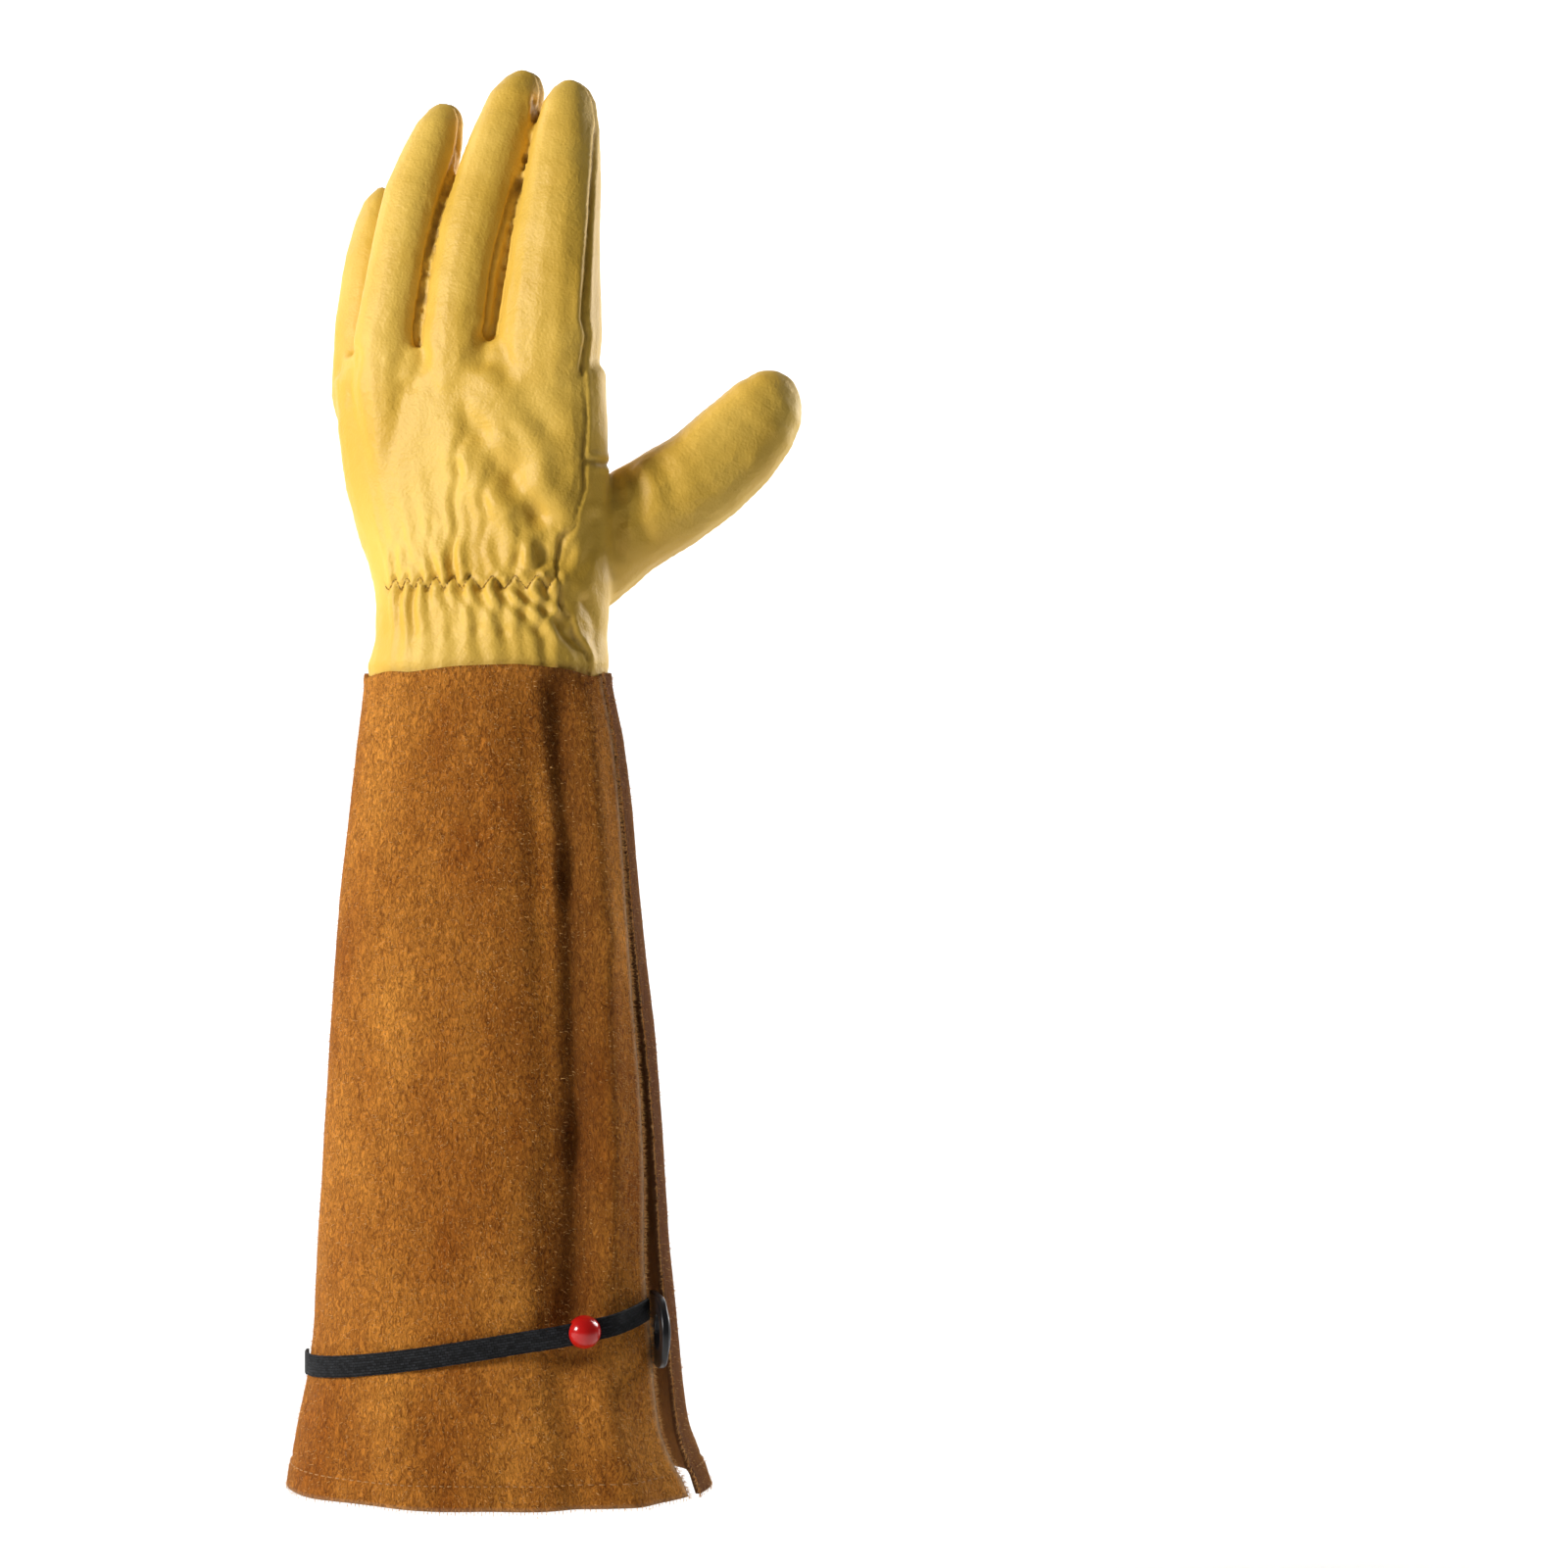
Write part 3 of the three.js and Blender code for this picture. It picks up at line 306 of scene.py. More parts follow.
pairs = neighbours(quads)
count = np.bincount(pairs.ravel(), minlength=len(points))

# The skin is smoothed without shrinking, drawn back by what the closing added, and tucked in at the wrist.
foot = points[:, 2] < 0.3002
for repeat in range(60):
    points = relaxed(points, 0.5)
    points = relaxed(points, -0.52)
points = points - outward(points, quads) * closing
for repeat in range(4):
    points = relaxed(points, 0.5)
    points = relaxed(points, -0.52)
tuck_x, tuck_y, tuck_up = -0.0045, 0.002, 0.2925
tuck = 0.975
points[foot, 0] = tuck_x + (points[foot, 0] - tuck_x) * tuck
points[foot, 1] = tuck_y + (points[foot, 1] - tuck_y) * tuck
points[foot, 2] = tuck_up
normals = outward(points, quads)

# How far each point lies from its nearest seam, measured to the CAD panels on either side of it.
panel_trees = []
for name in panel_names:
    shape = bmesh.new()
    shape.from_mesh(nodes[name].data)
    panel_trees.append(BVHTree.FromBMesh(shape))
    shape.free()
reach = np.full((len(points), len(panel_names)), 0.05)
straight = np.full((len(points), len(panel_names)), 0.05)
for number, tree_of_panel in enumerate(panel_trees):
    for index in range(len(points)):
        spot, facing, face, distance = tree_of_panel.find_nearest(Vector(points[index]), 0.012)
        if spot is None:
            continue
        away = np.array(spot) - points[index]
        straight[index, number] = distance
        if distance > 0.0012 and abs(away @ normals[index]) > 0.6 * distance:
            continue
        reach[index, number] = distance
closest = straight.argmin(axis=1)
reach[np.arange(len(points)), closest] = straight[np.arange(len(points)), closest]
ordered = np.sort(reach, axis=1)
owner = reach.argmin(axis=1)
seam = (ordered[:, 1] - ordered[:, 0]) * 1000
for repeat in range(3):
    seam = relaxed(seam[:, None], 0.3)[:, 0]

# Gathers and creases of the back. Each row is a crease's two ends in millimetres across and up, its depth
# and its width; those at the wrist start at the teeth of the shirring line.
creases = [
    {"x": -15.5, "up": 332, "to_x": -14.0, "to_up": 372, "deep": 1.1, "wide": 1.5},
    {"x": -14.0, "up": 370, "to_x": -10.5, "to_up": 394, "deep": 0.7, "wide": 1.8},
    {"x": -4.0, "up": 332, "to_x": -3.8, "to_up": 360, "deep": 0.8, "wide": 1.6},
    {"x": -3.8, "up": 358, "to_x": -0.5, "to_up": 375, "deep": 0.6, "wide": 2.0},
    {"x": 22.5, "up": 338, "to_x": 14.5, "to_up": 354, "deep": 2.0, "wide": 4.4},
    {"x": 14.5, "up": 354, "to_x": 5.5, "to_up": 368, "deep": 2.5, "wide": 5.0},
    {"x": 5.5, "up": 368, "to_x": -7.5, "to_up": 384, "deep": 2.2, "wide": 5.2},
    {"x": -7.5, "up": 384, "to_x": -11.5, "to_up": 396, "deep": 1.2, "wide": 4.4},
    {"x": 19.0, "up": 386, "to_x": 4.0, "to_up": 405, "deep": 0.9, "wide": 3.8},
    {"x": 4.0, "up": 405, "to_x": -5.0, "to_up": 411, "deep": 0.8, "wide": 3.0},
    {"x": 12.0, "up": 372, "to_x": 1.0, "to_up": 392, "deep": 0.7, "wide": 3.0},
    {"x": 18.7, "up": 336, "to_x": 9.0, "to_up": 352, "deep": 0.9, "wide": 2.2},
    {"x": 7.6, "up": 328, "to_x": 23.8, "to_up": 315, "deep": 1.7, "wide": 1.6},
    {"x": 23.8, "up": 315, "to_x": 33.0, "to_up": 297, "deep": 1.9, "wide": 1.8},
    {"x": 1.8, "up": 328, "to_x": 15.0, "to_up": 312, "deep": 1.5, "wide": 1.5},
    {"x": 15.0, "up": 312, "to_x": 22.0, "to_up": 298, "deep": 0.8, "wide": 1.9},
    {"x": 15.5, "up": 328, "to_x": 27.0, "to_up": 318, "deep": 1.1, "wide": 1.4},
    {"x": -5.0, "up": 327, "to_x": 3.0, "to_up": 311, "deep": 0.9, "wide": 1.4},
    {"x": 3.0, "up": 311, "to_x": 8.0, "to_up": 299, "deep": 0.6, "wide": 1.8},
    {"x": -12.0, "up": 327, "to_x": -6.0, "to_up": 312, "deep": 0.9, "wide": 1.4},
    {"x": -6.0, "up": 312, "to_x": -4.0, "to_up": 300, "deep": 0.5, "wide": 1.7},
    {"x": -18.5, "up": 326, "to_x": -15.0, "to_up": 310, "deep": 0.8, "wide": 1.3},
    {"x": -24.0, "up": 327, "to_x": -23.5, "to_up": 313, "deep": 0.6, "wide": 1.3},
    {"x": -29.0, "up": 327, "to_x": -31.0, "to_up": 308, "deep": 0.7, "wide": 1.3},
    {"x": -34.5, "up": 327, "to_x": -38.5, "to_up": 313, "deep": 0.5, "wide": 1.4},
    {"x": -22.3, "up": 332, "to_x": -24.5, "to_up": 352, "deep": 0.8, "wide": 1.3},
    {"x": -27.7, "up": 332, "to_x": -31.0, "to_up": 346, "deep": 0.6, "wide": 1.3},
    {"x": -33.0, "up": 332, "to_x": -38.0, "to_up": 343, "deep": 0.5, "wide": 1.4},
    {"x": 6.5, "up": 332, "to_x": 10.5, "to_up": 347, "deep": 0.8, "wide": 1.5},
    {"x": 13.7, "up": 332, "to_x": 19.5, "to_up": 345, "deep": 1.0, "wide": 1.6},
    {"x": 20.0, "up": 330, "to_x": 27.0, "to_up": 340, "deep": 0.9, "wide": 1.7},
    {"x": 49.0, "up": 370, "to_x": 54.0, "to_up": 347, "deep": 1.2, "wide": 2.6},
    {"x": 45.0, "up": 366, "to_x": 44.0, "to_up": 341, "deep": 1.0, "wide": 2.3},
    {"x": 36.5, "up": 352, "to_x": 31.0, "to_up": 332, "deep": 0.8, "wide": 2.2},
    {"x": 60.0, "up": 372, "to_x": 68.0, "to_up": 352, "deep": 0.5, "wide": 3.0},
    {"x": 33.0, "up": 322, "to_x": 38.0, "to_up": 298, "deep": 1.0, "wide": 2.0},
    {"x": -53.5, "up": 415, "to_x": -55.0, "to_up": 398, "deep": 0.8, "wide": 2.0},
    {"x": -28.5, "up": 414, "to_x": -30.0, "to_up": 402, "deep": 1.0, "wide": 2.4},
    {"x": -3.0, "up": 420, "to_x": -6.0, "to_up": 408, "deep": 0.9, "wide": 2.4},
]
across, through, up = points[:, 0] * 1000, points[:, 1] * 1000, points[:, 2] * 1000
to_back = np.clip(-normals[:, 1] * 2.2, 0, 1)
relief = np.zeros(len(points))
for row in creases:
    run = np.array([row["to_x"] - row["x"], row["to_up"] - row["up"]])
    share = ((across - row["x"]) * run[0] + (up - row["up"]) * run[1]) / (run @ run)
    wander = 0.9 * np.sin(up * 0.31 + row["x"])
    near = np.clip(share, 0, 1)
    off = np.hypot(across + wander - row["x"] - near * run[0], up - row["up"] - near * run[1])
    ends = 1 - 0.55 * np.clip(share, 0, 1)
    dip = np.exp(-((off / row["wide"]) ** 2))
    shoulder = np.exp(-(((off - 2.1 * row["wide"]) / (1.1 * row["wide"])) ** 2))
    relief += to_back * ends * row["deep"] * (0.42 * shoulder - dip)

# The shirring: one elastic thread sewn across the back of the wrist in a zigzag, pulling the leather in.
tooth_places = np.array([-43, -37.4, -32.8, -27.7, -22.0, -15.5, -9.0, -0.7, 7.6, 15.5, 22.5])


def thread_height(tooth):
    wave = 1 - 2 * np.abs(2 * (tooth - np.floor(tooth + 0.5)))
    return 329.2 + 2.6 * wave


tooth = np.interp(across, tooth_places, np.arange(len(tooth_places)))
line_up = thread_height(tooth)
shirred = to_back * np.clip((across + 43) / 4, 0, 1) * np.clip((24 - across) / 4, 0, 1)
relief -= 1.7 * shirred * np.exp(-(((up - line_up) / 1.05) ** 2))
relief += 0.9 * shirred * np.exp(-(((up - 338) / 5.0) ** 2)) * (0.55 - 0.45 * np.cos(2 * np.pi * tooth))
relief += 0.9 * shirred * np.exp(-(((up - 319) / 6.0) ** 2)) * (0.55 + 0.45 * np.cos(2 * np.pi * tooth))

# Seams turned inwards, with a rounded shoulder on both sides, and a light unevenness all over.
relief -= 1.25 * np.exp(-((seam / 0.95) ** 2))
relief += 0.42 * np.exp(-(((seam - 2.4) / 1.3) ** 2))
for index in range(len(points)):
    spot = Vector(points[index])
    relief[index] += 0.4 * noise.noise(spot * 45) + 0.22 * noise.noise(spot * 130)
puckers = np.sin(up * 1.9 + across * 0.7) * np.exp(-(((seam - 1.8) / 1.4) ** 2))
relief += 0.07 * puckers
fade = np.clip((up - 297.5) / 3, 0, 1)
points = points + normals * (relief * fade * 0.001)[:, None]
points = relaxed(points, 0.25)
normals = outward(points, quads)
# Painted shade for the colour: darkest in the seam grooves, with a thin dark line along the shirring crease.
seam_shade = np.clip(0.8 * np.exp(-((seam / 0.75) ** 2)), 0, 1)
seam_shade = np.maximum(seam_shade, 0.35 * shirred * np.exp(-(((up - line_up) / 0.8) ** 2)))

# Each panel is cut out of the skin along its seams and given its thickness inwards.
leather_thick = 0.0011
# Painted shade on the inner faces of the leather panels.
inside_shade = 0.3
owner_of_face = np.zeros(len(quads), int)
for number in range(len(panel_names)):
    votes = (owner[quads] == number).sum(axis=1)
    best = (owner[quads] == owner_of_face[:, None]).sum(axis=1)
    owner_of_face = np.where(votes > best, number, owner_of_face)
for number, name in enumerate(panel_names):
    faces = quads[owner_of_face == number]
    kept = np.unique(faces)
    local = np.full(len(points), -1)
    local[kept] = np.arange(len(kept))
    faces = local[faces]
    outer = points[kept]
    facing = normals[kept]
    inner = outer - facing * leather_thick
    sides = np.concatenate([faces[:, [a, (a + 1) % 4]] for a in range(4)])
    keys = np.sort(sides, axis=1)
    unique, first, repeats = np.unique(keys, axis=0, return_index=True, return_counts=True)
    rim = sides[first[repeats == 1]]
    size = len(kept)
    walls = np.stack([rim[:, 1], rim[:, 0], rim[:, 0] + size, rim[:, 1] + size], axis=1)
    everything = np.concatenate([faces, faces[:, ::-1] + size, walls])
    mesh = bpy.data.meshes.new(name + "_skin")
    mesh.from_pydata(np.concatenate([outer, inner]).tolist(), [], everything.tolist())
    mesh.polygons.foreach_set("use_smooth", [True] * len(everything))
    mesh.normals_split_custom_set_from_vertices(np.concatenate([facing, -facing]).tolist())
    mark = mesh.attributes.new("seam", "FLOAT", "POINT")
    mark.data.foreach_set("value", np.concatenate([seam_shade[kept], np.full(size, inside_shade)]))
    mesh.materials.append(leather)
    panel = bpy.data.objects.new(name + "_skin", mesh)
    bpy.context.scene.collection.objects.link(panel)
    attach(panel, "root")
    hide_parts(name)

# SUEDE
# Split cowhide with its nap brushed up: a dull, mottled tan to rust surface of short fibres that catch the
# light at the edges of each fold, and a paler cut edge.
suede = bpy.data.materials.new("suede")
suede.use_nodes = True
tree = suede.node_tree
shader = tree.nodes["Principled BSDF"]
shader.inputs["Roughness"].default_value = 0.95
shader.inputs["Specular IOR Level"].default_value = 0.12
shader.inputs["Sheen Weight"].default_value = 0.1
shader.inputs["Sheen Roughness"].default_value = 0.55
shader.inputs["Sheen Tint"].default_value = (1.0, 0.62, 0.3, 1)
place = tree.nodes.new("ShaderNodeTexCoord")
stretch = tree.nodes.new("ShaderNodeMapping")
stretch.inputs["Scale"].default_value = (1.0, 1.0, 0.55)
tree.links.new(place.outputs["Object"], stretch.inputs["Vector"])
brushed = stretch.outputs["Vector"]
clouds = pattern(tree, "ShaderNodeTexNoise", brushed, Scale=20, Detail=5, Roughness=0.6)
rust, tan = (0.32, (0.34, 0.1, 0.009, 1)), (0.66, (0.66, 0.27, 0.042, 1))
cloud_tones = two_tones(tree, clouds.outputs["Fac"], rust, tan)
nap = pattern(tree, "ShaderNodeTexNoise", brushed, Scale=640, Detail=4, Roughness=0.75, Distortion=1.6)
nap_root, nap_tip = (0.36, (0.36, 0.28, 0.22, 1)), (0.62, (1.4, 1.4, 1.35, 1))
nap_tones = two_tones(tree, nap.outputs["Fac"], nap_root, nap_tip)
napped = tree.nodes.new("ShaderNodeMix")
napped.data_type = "RGBA"
napped.blend_type = "MULTIPLY"
napped.inputs[0].default_value = 0.85
tree.links.new(cloud_tones, napped.inputs[6])
tree.links.new(nap_tones, napped.inputs[7])
edged = tinted(tree, "cut_edge", napped.outputs[2], (0.58, 0.4, 0.25, 1))
# Painted shade: the nap is darkened in the deep fold valleys, on the flap behind the slit and towards the
# right.
nap_with_painted_shade = tinted(tree, "nap_painted_shade", edged, (0.075, 0.017, 0.0025, 1))
# Painted shade on the inner face of the cuff.
inside_with_painted_shade = tinted(tree, "inside", nap_with_painted_shade, (0.16, 0.06, 0.014, 1))
tree.links.new(inside_with_painted_shade, shader.inputs["Base Color"])
clumps = pattern(tree, "ShaderNodeTexNoise", brushed, Scale=240, Detail=5, Distortion=0.8)
nap_relief = fine_relief(tree, nap.outputs["Fac"], 1.0, 0.0012)
clump_relief = fine_relief(tree, clumps.outputs["Fac"], 0.75, 0.0016, nap_relief)
tree.links.new(clump_relief, shader.inputs["Normal"])

# THE SUEDE CUFF
# One large piece of suede wrapped round the forearm and left open in a slit on the thumb side. Its lower
# edge is turned and stitched, its slit edges are raw, and it hangs in long soft folds.
cuff_shape = bmesh.new()
cuff_shape.from_mesh(nodes["suede_cuff"].data)
cuff_tree = BVHTree.FromBMesh(cuff_shape)
cuff_shape.free()
cuff_top = 0.297
rows, columns = 178, 250


def wall_from_outside(degrees, height):
    middle = Vector((-0.002 - 0.0025 * height / cuff_top, 0, min(max(height, 0.0008), cuff_top - 0.0008)))
    out = Vector((math.cos(math.radians(degrees)), math.sin(math.radians(degrees)), 0))
    spot = cuff_tree.ray_cast(middle + out * 0.12, -out)[0]
    if spot is None:
        return None
    return (spot - middle).dot(out)
def bell(reach, spread):
    weights = np.exp(-(np.arange(-reach, reach + 1) ** 2) / spread)
    return weights / weights.sum()


# The slit's two edges, as angles round the cuff at each height, smoothed and then made a little ragged.
heights = np.linspace(0, cuff_top, rows)
slit_low = np.zeros(rows)
slit_high = np.zeros(rows)
for row in range(rows):
    found = [d for d in np.arange(-30, -10, 0.2) if (wall_from_outside(d, heights[row]) or -1) < 0.01]
    slit_low[row], slit_high[row] = (min(found) - 0.15, max(found) + 0.15) if found else (-19.0, -18.6)
slit_low = np.convolve(np.pad(slit_low, 9, mode="edge"), bell(9, 18.0), "valid")
slit_high = np.convolve(np.pad(slit_high, 9, mode="edge"), bell(9, 18.0), "valid")
ragged = []
for height in heights:
    coarse = noise.noise(Vector((0, 3.0, height * 160)))
    ragged.append(coarse + 0.6 * noise.noise(Vector((0, 7.0, height * 520))))
ragged = np.array(ragged)
wall_low, wall_high = slit_low.copy(), slit_high.copy()
slit_high = slit_high - 3.6 * np.exp(-((heights / 0.024) ** 2)) - 0.9 * np.clip((heights - 0.15) / 0.1, 0, 1)
slit_low = slit_low + 1.8 * np.exp(-((heights / 0.022) ** 2)) - 0.35 * ragged
slit_high = slit_high + 0.35 * ragged[::-1]
radius = np.zeros((rows, columns))
angles = np.zeros((rows, columns))
for row in range(rows):
    angles[row] = np.linspace(slit_high[row], slit_low[row] + 360, columns)
    for column in range(columns):
        asked = min(max(angles[row, column], wall_high[row] + 0.7), wall_low[row] + 359.3)
        found = wall_from_outside(asked, heights[row])
        radius[row, column] = found if found and found > 0.01 else radius[row, column - 1]
padded = np.pad(radius, ((0, 0), (6, 6)), mode="reflect", reflect_type="odd")
radius = np.stack([np.convolve(line, bell(6, 12.0), "valid") for line in padded])
padded = np.pad(radius, ((6, 6), (0, 0)), mode="reflect", reflect_type="odd")
radius = np.stack([np.convolve(line, bell(6, 12.0), "valid") for line in padded.T]).T

# Soft folds of the cuff's front: each row is a fold's two ends in millimetres across and up, how far it
# stands out and how wide it is.
folds = [
    {"x": 24, "up": 292, "to_x": 31, "to_up": 225, "out": -4.6, "wide": 6.0},
    {"x": 31, "up": 225, "to_x": 33, "to_up": 130, "out": -4.8, "wide": 6.5},
    {"x": 33, "up": 130, "to_x": 30, "to_up": 62, "out": -3.8, "wide": 6.0},
    {"x": 33, "up": 285, "to_x": 41, "to_up": 200, "out": 2.0, "wide": 4.5},
    {"x": 41, "up": 200, "to_x": 42, "to_up": 90, "out": 1.6, "wide": 4.5},
    {"x": 36, "up": 48, "to_x": 52, "to_up": 2, "out": 2.4, "wide": 5.5},
    {"x": 26, "up": 52, "to_x": 32, "to_up": 2, "out": -2.0, "wide": 6.5},
    {"x": 14, "up": 250, "to_x": 22, "to_up": 140, "out": 1.3, "wide": 9.0},
    {"x": -58, "up": 110, "to_x": -50, "to_up": 20, "out": -0.8, "wide": 7.0},
    {"x": -36, "up": 48, "to_x": -30, "to_up": 6, "out": 1.2, "wide": 9.0},
    {"x": 2, "up": 60, "to_x": 6, "to_up": 4, "out": -0.9, "wide": 9.0},
    {"x": -40, "up": 250, "to_x": -20, "to_up": 215, "out": -0.7, "wide": 9.0},
    {"x": -10, "up": 205, "to_x": 16, "to_up": 222, "out": -0.8, "wide": 7.0},
]
middles = np.stack([-0.002 - 0.0025 * heights / cuff_top, 0 * heights], axis=1)
turned = np.radians(angles)
x_at = (middles[:, :1] + radius * np.cos(turned)) * 1000
up_at = np.repeat(heights[:, None], columns, axis=1) * 1000
front = np.clip(-np.sin(turned) * 2.0, 0, 1)
def off_fold(fold):
    run = np.array([fold["to_x"] - fold["x"], fold["to_up"] - fold["up"]])
    share = ((x_at - fold["x"]) * run[0] + (up_at - fold["up"]) * run[1]) / (run @ run)
    near = np.clip(share, 0, 1)
    return np.hypot(x_at - fold["x"] - near * run[0], (up_at - fold["up"] - near * run[1]) * 0.6)


extra = np.zeros_like(radius)
for fold in folds:
    extra += front * fold["out"] * np.exp(-((off_fold(fold) / fold["wide"]) ** 2))
for row in range(rows):
    for column in range(columns):
        a, h, r = turned[row, column], heights[row], radius[row, column]
        spot = Vector((r * math.cos(a), r * math.sin(a), h * 0.5))
        extra[row, column] += 1.1 * noise.noise(spot * 24) + 0.35 * noise.noise(spot * 75 + Vector((4, 0, 0)))
        extra[row, column] += 0.1 * noise.noise(spot * 420)
near_strap = np.exp(-(((up_at - 52) / 16) ** 2))
extra *= 1 - 0.55 * near_strap
extra *= 1 - 0.85 * np.exp(-(((up_at - 298) / 9) ** 2))
hem = 9.0
extra += 0.45 / (1 + np.exp((up_at - hem) / 0.5))
extra -= 0.55 * np.exp(-(((up_at - hem - 0.3) / 1.2) ** 2))
extra += 0.5 * np.exp(-(((up_at - 296) / 2.2) ** 2))
outer_radius = radius + extra * 0.001
suede_thick = 0.0018
inner_radius = outer_radius - suede_thick


def cuff_points(radii):
    x = middles[:, :1] + radii * np.cos(turned)
    y = middles[:, 1:] + radii * np.sin(turned)
    return np.stack([x, y, np.repeat(heights[:, None], columns, axis=1)], axis=2)


outside = cuff_points(outer_radius)
hem_wave = np.array([noise.noise(Vector((math.cos(a) * 2.2, math.sin(a) * 2.2, 5))) for a in turned[0]])
outside[:4, :, 2] += (0.0007 * hem_wave)[None, :] * np.array([1, 0.75, 0.5, 0.25])[:, None]
brim_x = [-60.0, -49.7, -38.9, -31.7, -13.7, 9.4, 27.0, 35.6, 40.7, 46.0]
brim_lift = [-1.0, -2.2, 0.4, -0.4, 1.8, 2.5, 0.7, -2.2, 0.0, -0.6]
brim = np.interp(outside[-1, :, 0] * 1000, brim_x, brim_lift)
behind = np.array([1.4 * noise.noise(Vector((x * 60, 2, 0))) for x in outside[-1, :, 0]])
brim = np.where(outside[-1, :, 1] < 0, brim, behind)
brim = np.convolve(np.pad(brim, 3, mode="edge"), np.ones(7) / 7, "valid")
for back_row in range(14):
    outside[-1 - back_row, :, 2] += brim * 0.001 * (1 - back_row / 14) ** 1.5
inside = cuff_points(inner_radius)
inside[:, :, 2] = outside[:, :, 2]
grid = np.arange(rows * columns).reshape(rows, columns)
front_faces = np.stack([grid[:-1, :-1], grid[:-1, 1:], grid[1:, 1:], grid[1:, :-1]], axis=2).reshape(-1, 4)
back_faces = front_faces[:, ::-1] + rows * columns


def edge_strip(line, way):
    a, b = line[:-1], line[1:]
    strip = np.stack([b, a, a + rows * columns, b + rows * columns], axis=1)
    return strip if way else strip[:, ::-1]


rims = [
    edge_strip(grid[0], True),
    edge_strip(grid[-1], False),
    edge_strip(grid[:, 0], False),
    edge_strip(grid[:, -1], True),
]
mesh = bpy.data.meshes.new("suede_cuff_skin")
all_points = np.concatenate([outside.reshape(-1, 3), inside.reshape(-1, 3)])
mesh.from_pydata(all_points.tolist(), [], np.concatenate([front_faces, back_faces, *rims]).tolist())
mesh.polygons.foreach_set("use_smooth", [True] * (len(front_faces) * 2) + [False] * sum(len(r) for r in rims))
edge_shade = np.zeros((rows, columns))
edge_shade[:, :1] = 0.9
edge_shade[:, -1:] = 0.9
edge_shade[:, 1:2] = 0.35
edge_shade[:, -2:-1] = 0.35
edge_shade[0, :] = 0.45
mark = mesh.attributes.new("cut_edge", "FLOAT", "POINT")
mark.data.foreach_set("value", np.concatenate([edge_shade.ravel(), edge_shade.ravel()]))
# Painted shade on the nap: darker in the valleys of the three deep folds, on the flap edge behind the slit,
# and a little towards the right of the front.
nap_painted_shade = np.zeros((rows, columns))
for fold in folds[:3]:
    nap_painted_shade = np.maximum(nap_painted_shade, 0.62 * front * np.exp(-((off_fold(fold) / 7.5) ** 2)))
behind_slit = np.arange(columns)[None, :] * (2 * math.pi * 55 / columns)
nap_painted_shade = np.maximum(nap_painted_shade, 0.85 * np.exp(-((behind_slit / 26.0) ** 2)) * np.ones((rows, 1)))
nap_painted_shade = np.clip(nap_painted_shade + 0.1 * np.clip((x_at - 10) / 40, 0, 1) * front, 0, 0.85)
mark = mesh.attributes.new("nap_painted_shade", "FLOAT", "POINT")
mark.data.foreach_set("value", np.concatenate([nap_painted_shade.ravel(), nap_painted_shade.ravel()]))
# Painted shade on the inner face of the cuff, seen in the slit gap.
mark = mesh.attributes.new("inside", "FLOAT", "POINT")
mark.data.foreach_set("value", np.concatenate([np.zeros(rows * columns), np.full(rows * columns, 0.75)]))
mesh.materials.append(suede)
cuff = bpy.data.objects.new("suede_cuff_skin", mesh)
bpy.context.scene.collection.objects.link(cuff)
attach(cuff, "root")
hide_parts("suede_cuff")

# THE NAP'S LOOSE FIBRES
# Single suede fibres that stand off the nap, most of them along the raw edges of the slit and the hem.
# They are short, pale and bent, and are what makes the outline of the cuff look soft.
fibre_source = np.random.RandomState(7)
fibre_points, fibre_faces = [], []


def add_fibre(root, out, side, length, width):
    tip = root + out * length + side * length * 0.5
    halfway = root + out * length * 0.55 + side * length * 0.12
    broad = np.cross(out, side)
    broad = broad / max(np.linalg.norm(broad), 1e-9) * width
    start = len(fibre_points)
    fibre_points.extend([root - broad, root + broad, halfway + broad * 0.7, halfway - broad * 0.7, tip])
    fibre_faces.extend([(start, start + 1, start + 2, start + 3), (start + 3, start + 2, start + 4)])


out_of = np.stack([np.cos(turned), np.sin(turned), 0 * turned], axis=2)
fibre_count = 30000
fibre_half_width = 0.0001
for number in range(fibre_count):
    row = int(fibre_source.randint(0, rows))
    pick = fibre_source.rand()
    at_slit, at_hem = pick < 0.22, 0.22 <= pick < 0.3
    if at_slit:
        column = int(fibre_source.choice([0, columns - 1]))
        out = out_of[row, column]
        outwards = out * 0.3 + np.array([-out[1], out[0], 0]) * (-1 if column == 0 else 1)
    elif at_hem:
        row, column = 0, int(fibre_source.randint(0, columns))
        outwards = out_of[row, column] * 0.4 + np.array([0, 0, -1.0])
    else:
        column = int(columns * (1 - fibre_source.rand() ** 1.6 * 0.999))
        outwards = out_of[row, column]
    lean = fibre_source.normal(0, 0.8, 3) + np.array([0, 0, -0.5])
    outwards = outwards / np.linalg.norm(outwards)
    lean = lean - outwards * (lean @ outwards)
    lean = lean / max(np.linalg.norm(lean), 1e-9)
    upright = 0.8 if at_slit or at_hem else 0.5
    length = fibre_source.uniform(0.0008, 0.0026) * (0.4 if at_hem else 1.0)
    root = outside[row, column] + fibre_source.normal(0, 0.0005, 3) * np.array([0, 0, 1])
    add_fibre(root, outwards * upright, lean, length, fibre_half_width)
mesh = bpy.data.meshes.new("suede_fibres")
mesh.from_pydata([tuple(p) for p in fibre_points], [], fibre_faces)
fibre_matter = bpy.data.materials.new("suede_fibre")
fibre_matter.use_nodes = True
shader = fibre_matter.node_tree.nodes["Principled BSDF"]
shader.inputs["Base Color"].default_value = (0.74, 0.4, 0.13, 1)
shader.inputs["Roughness"].default_value = 0.8
mesh.materials.append(fibre_matter)
fibres = bpy.data.objects.new("suede_fibres", mesh)
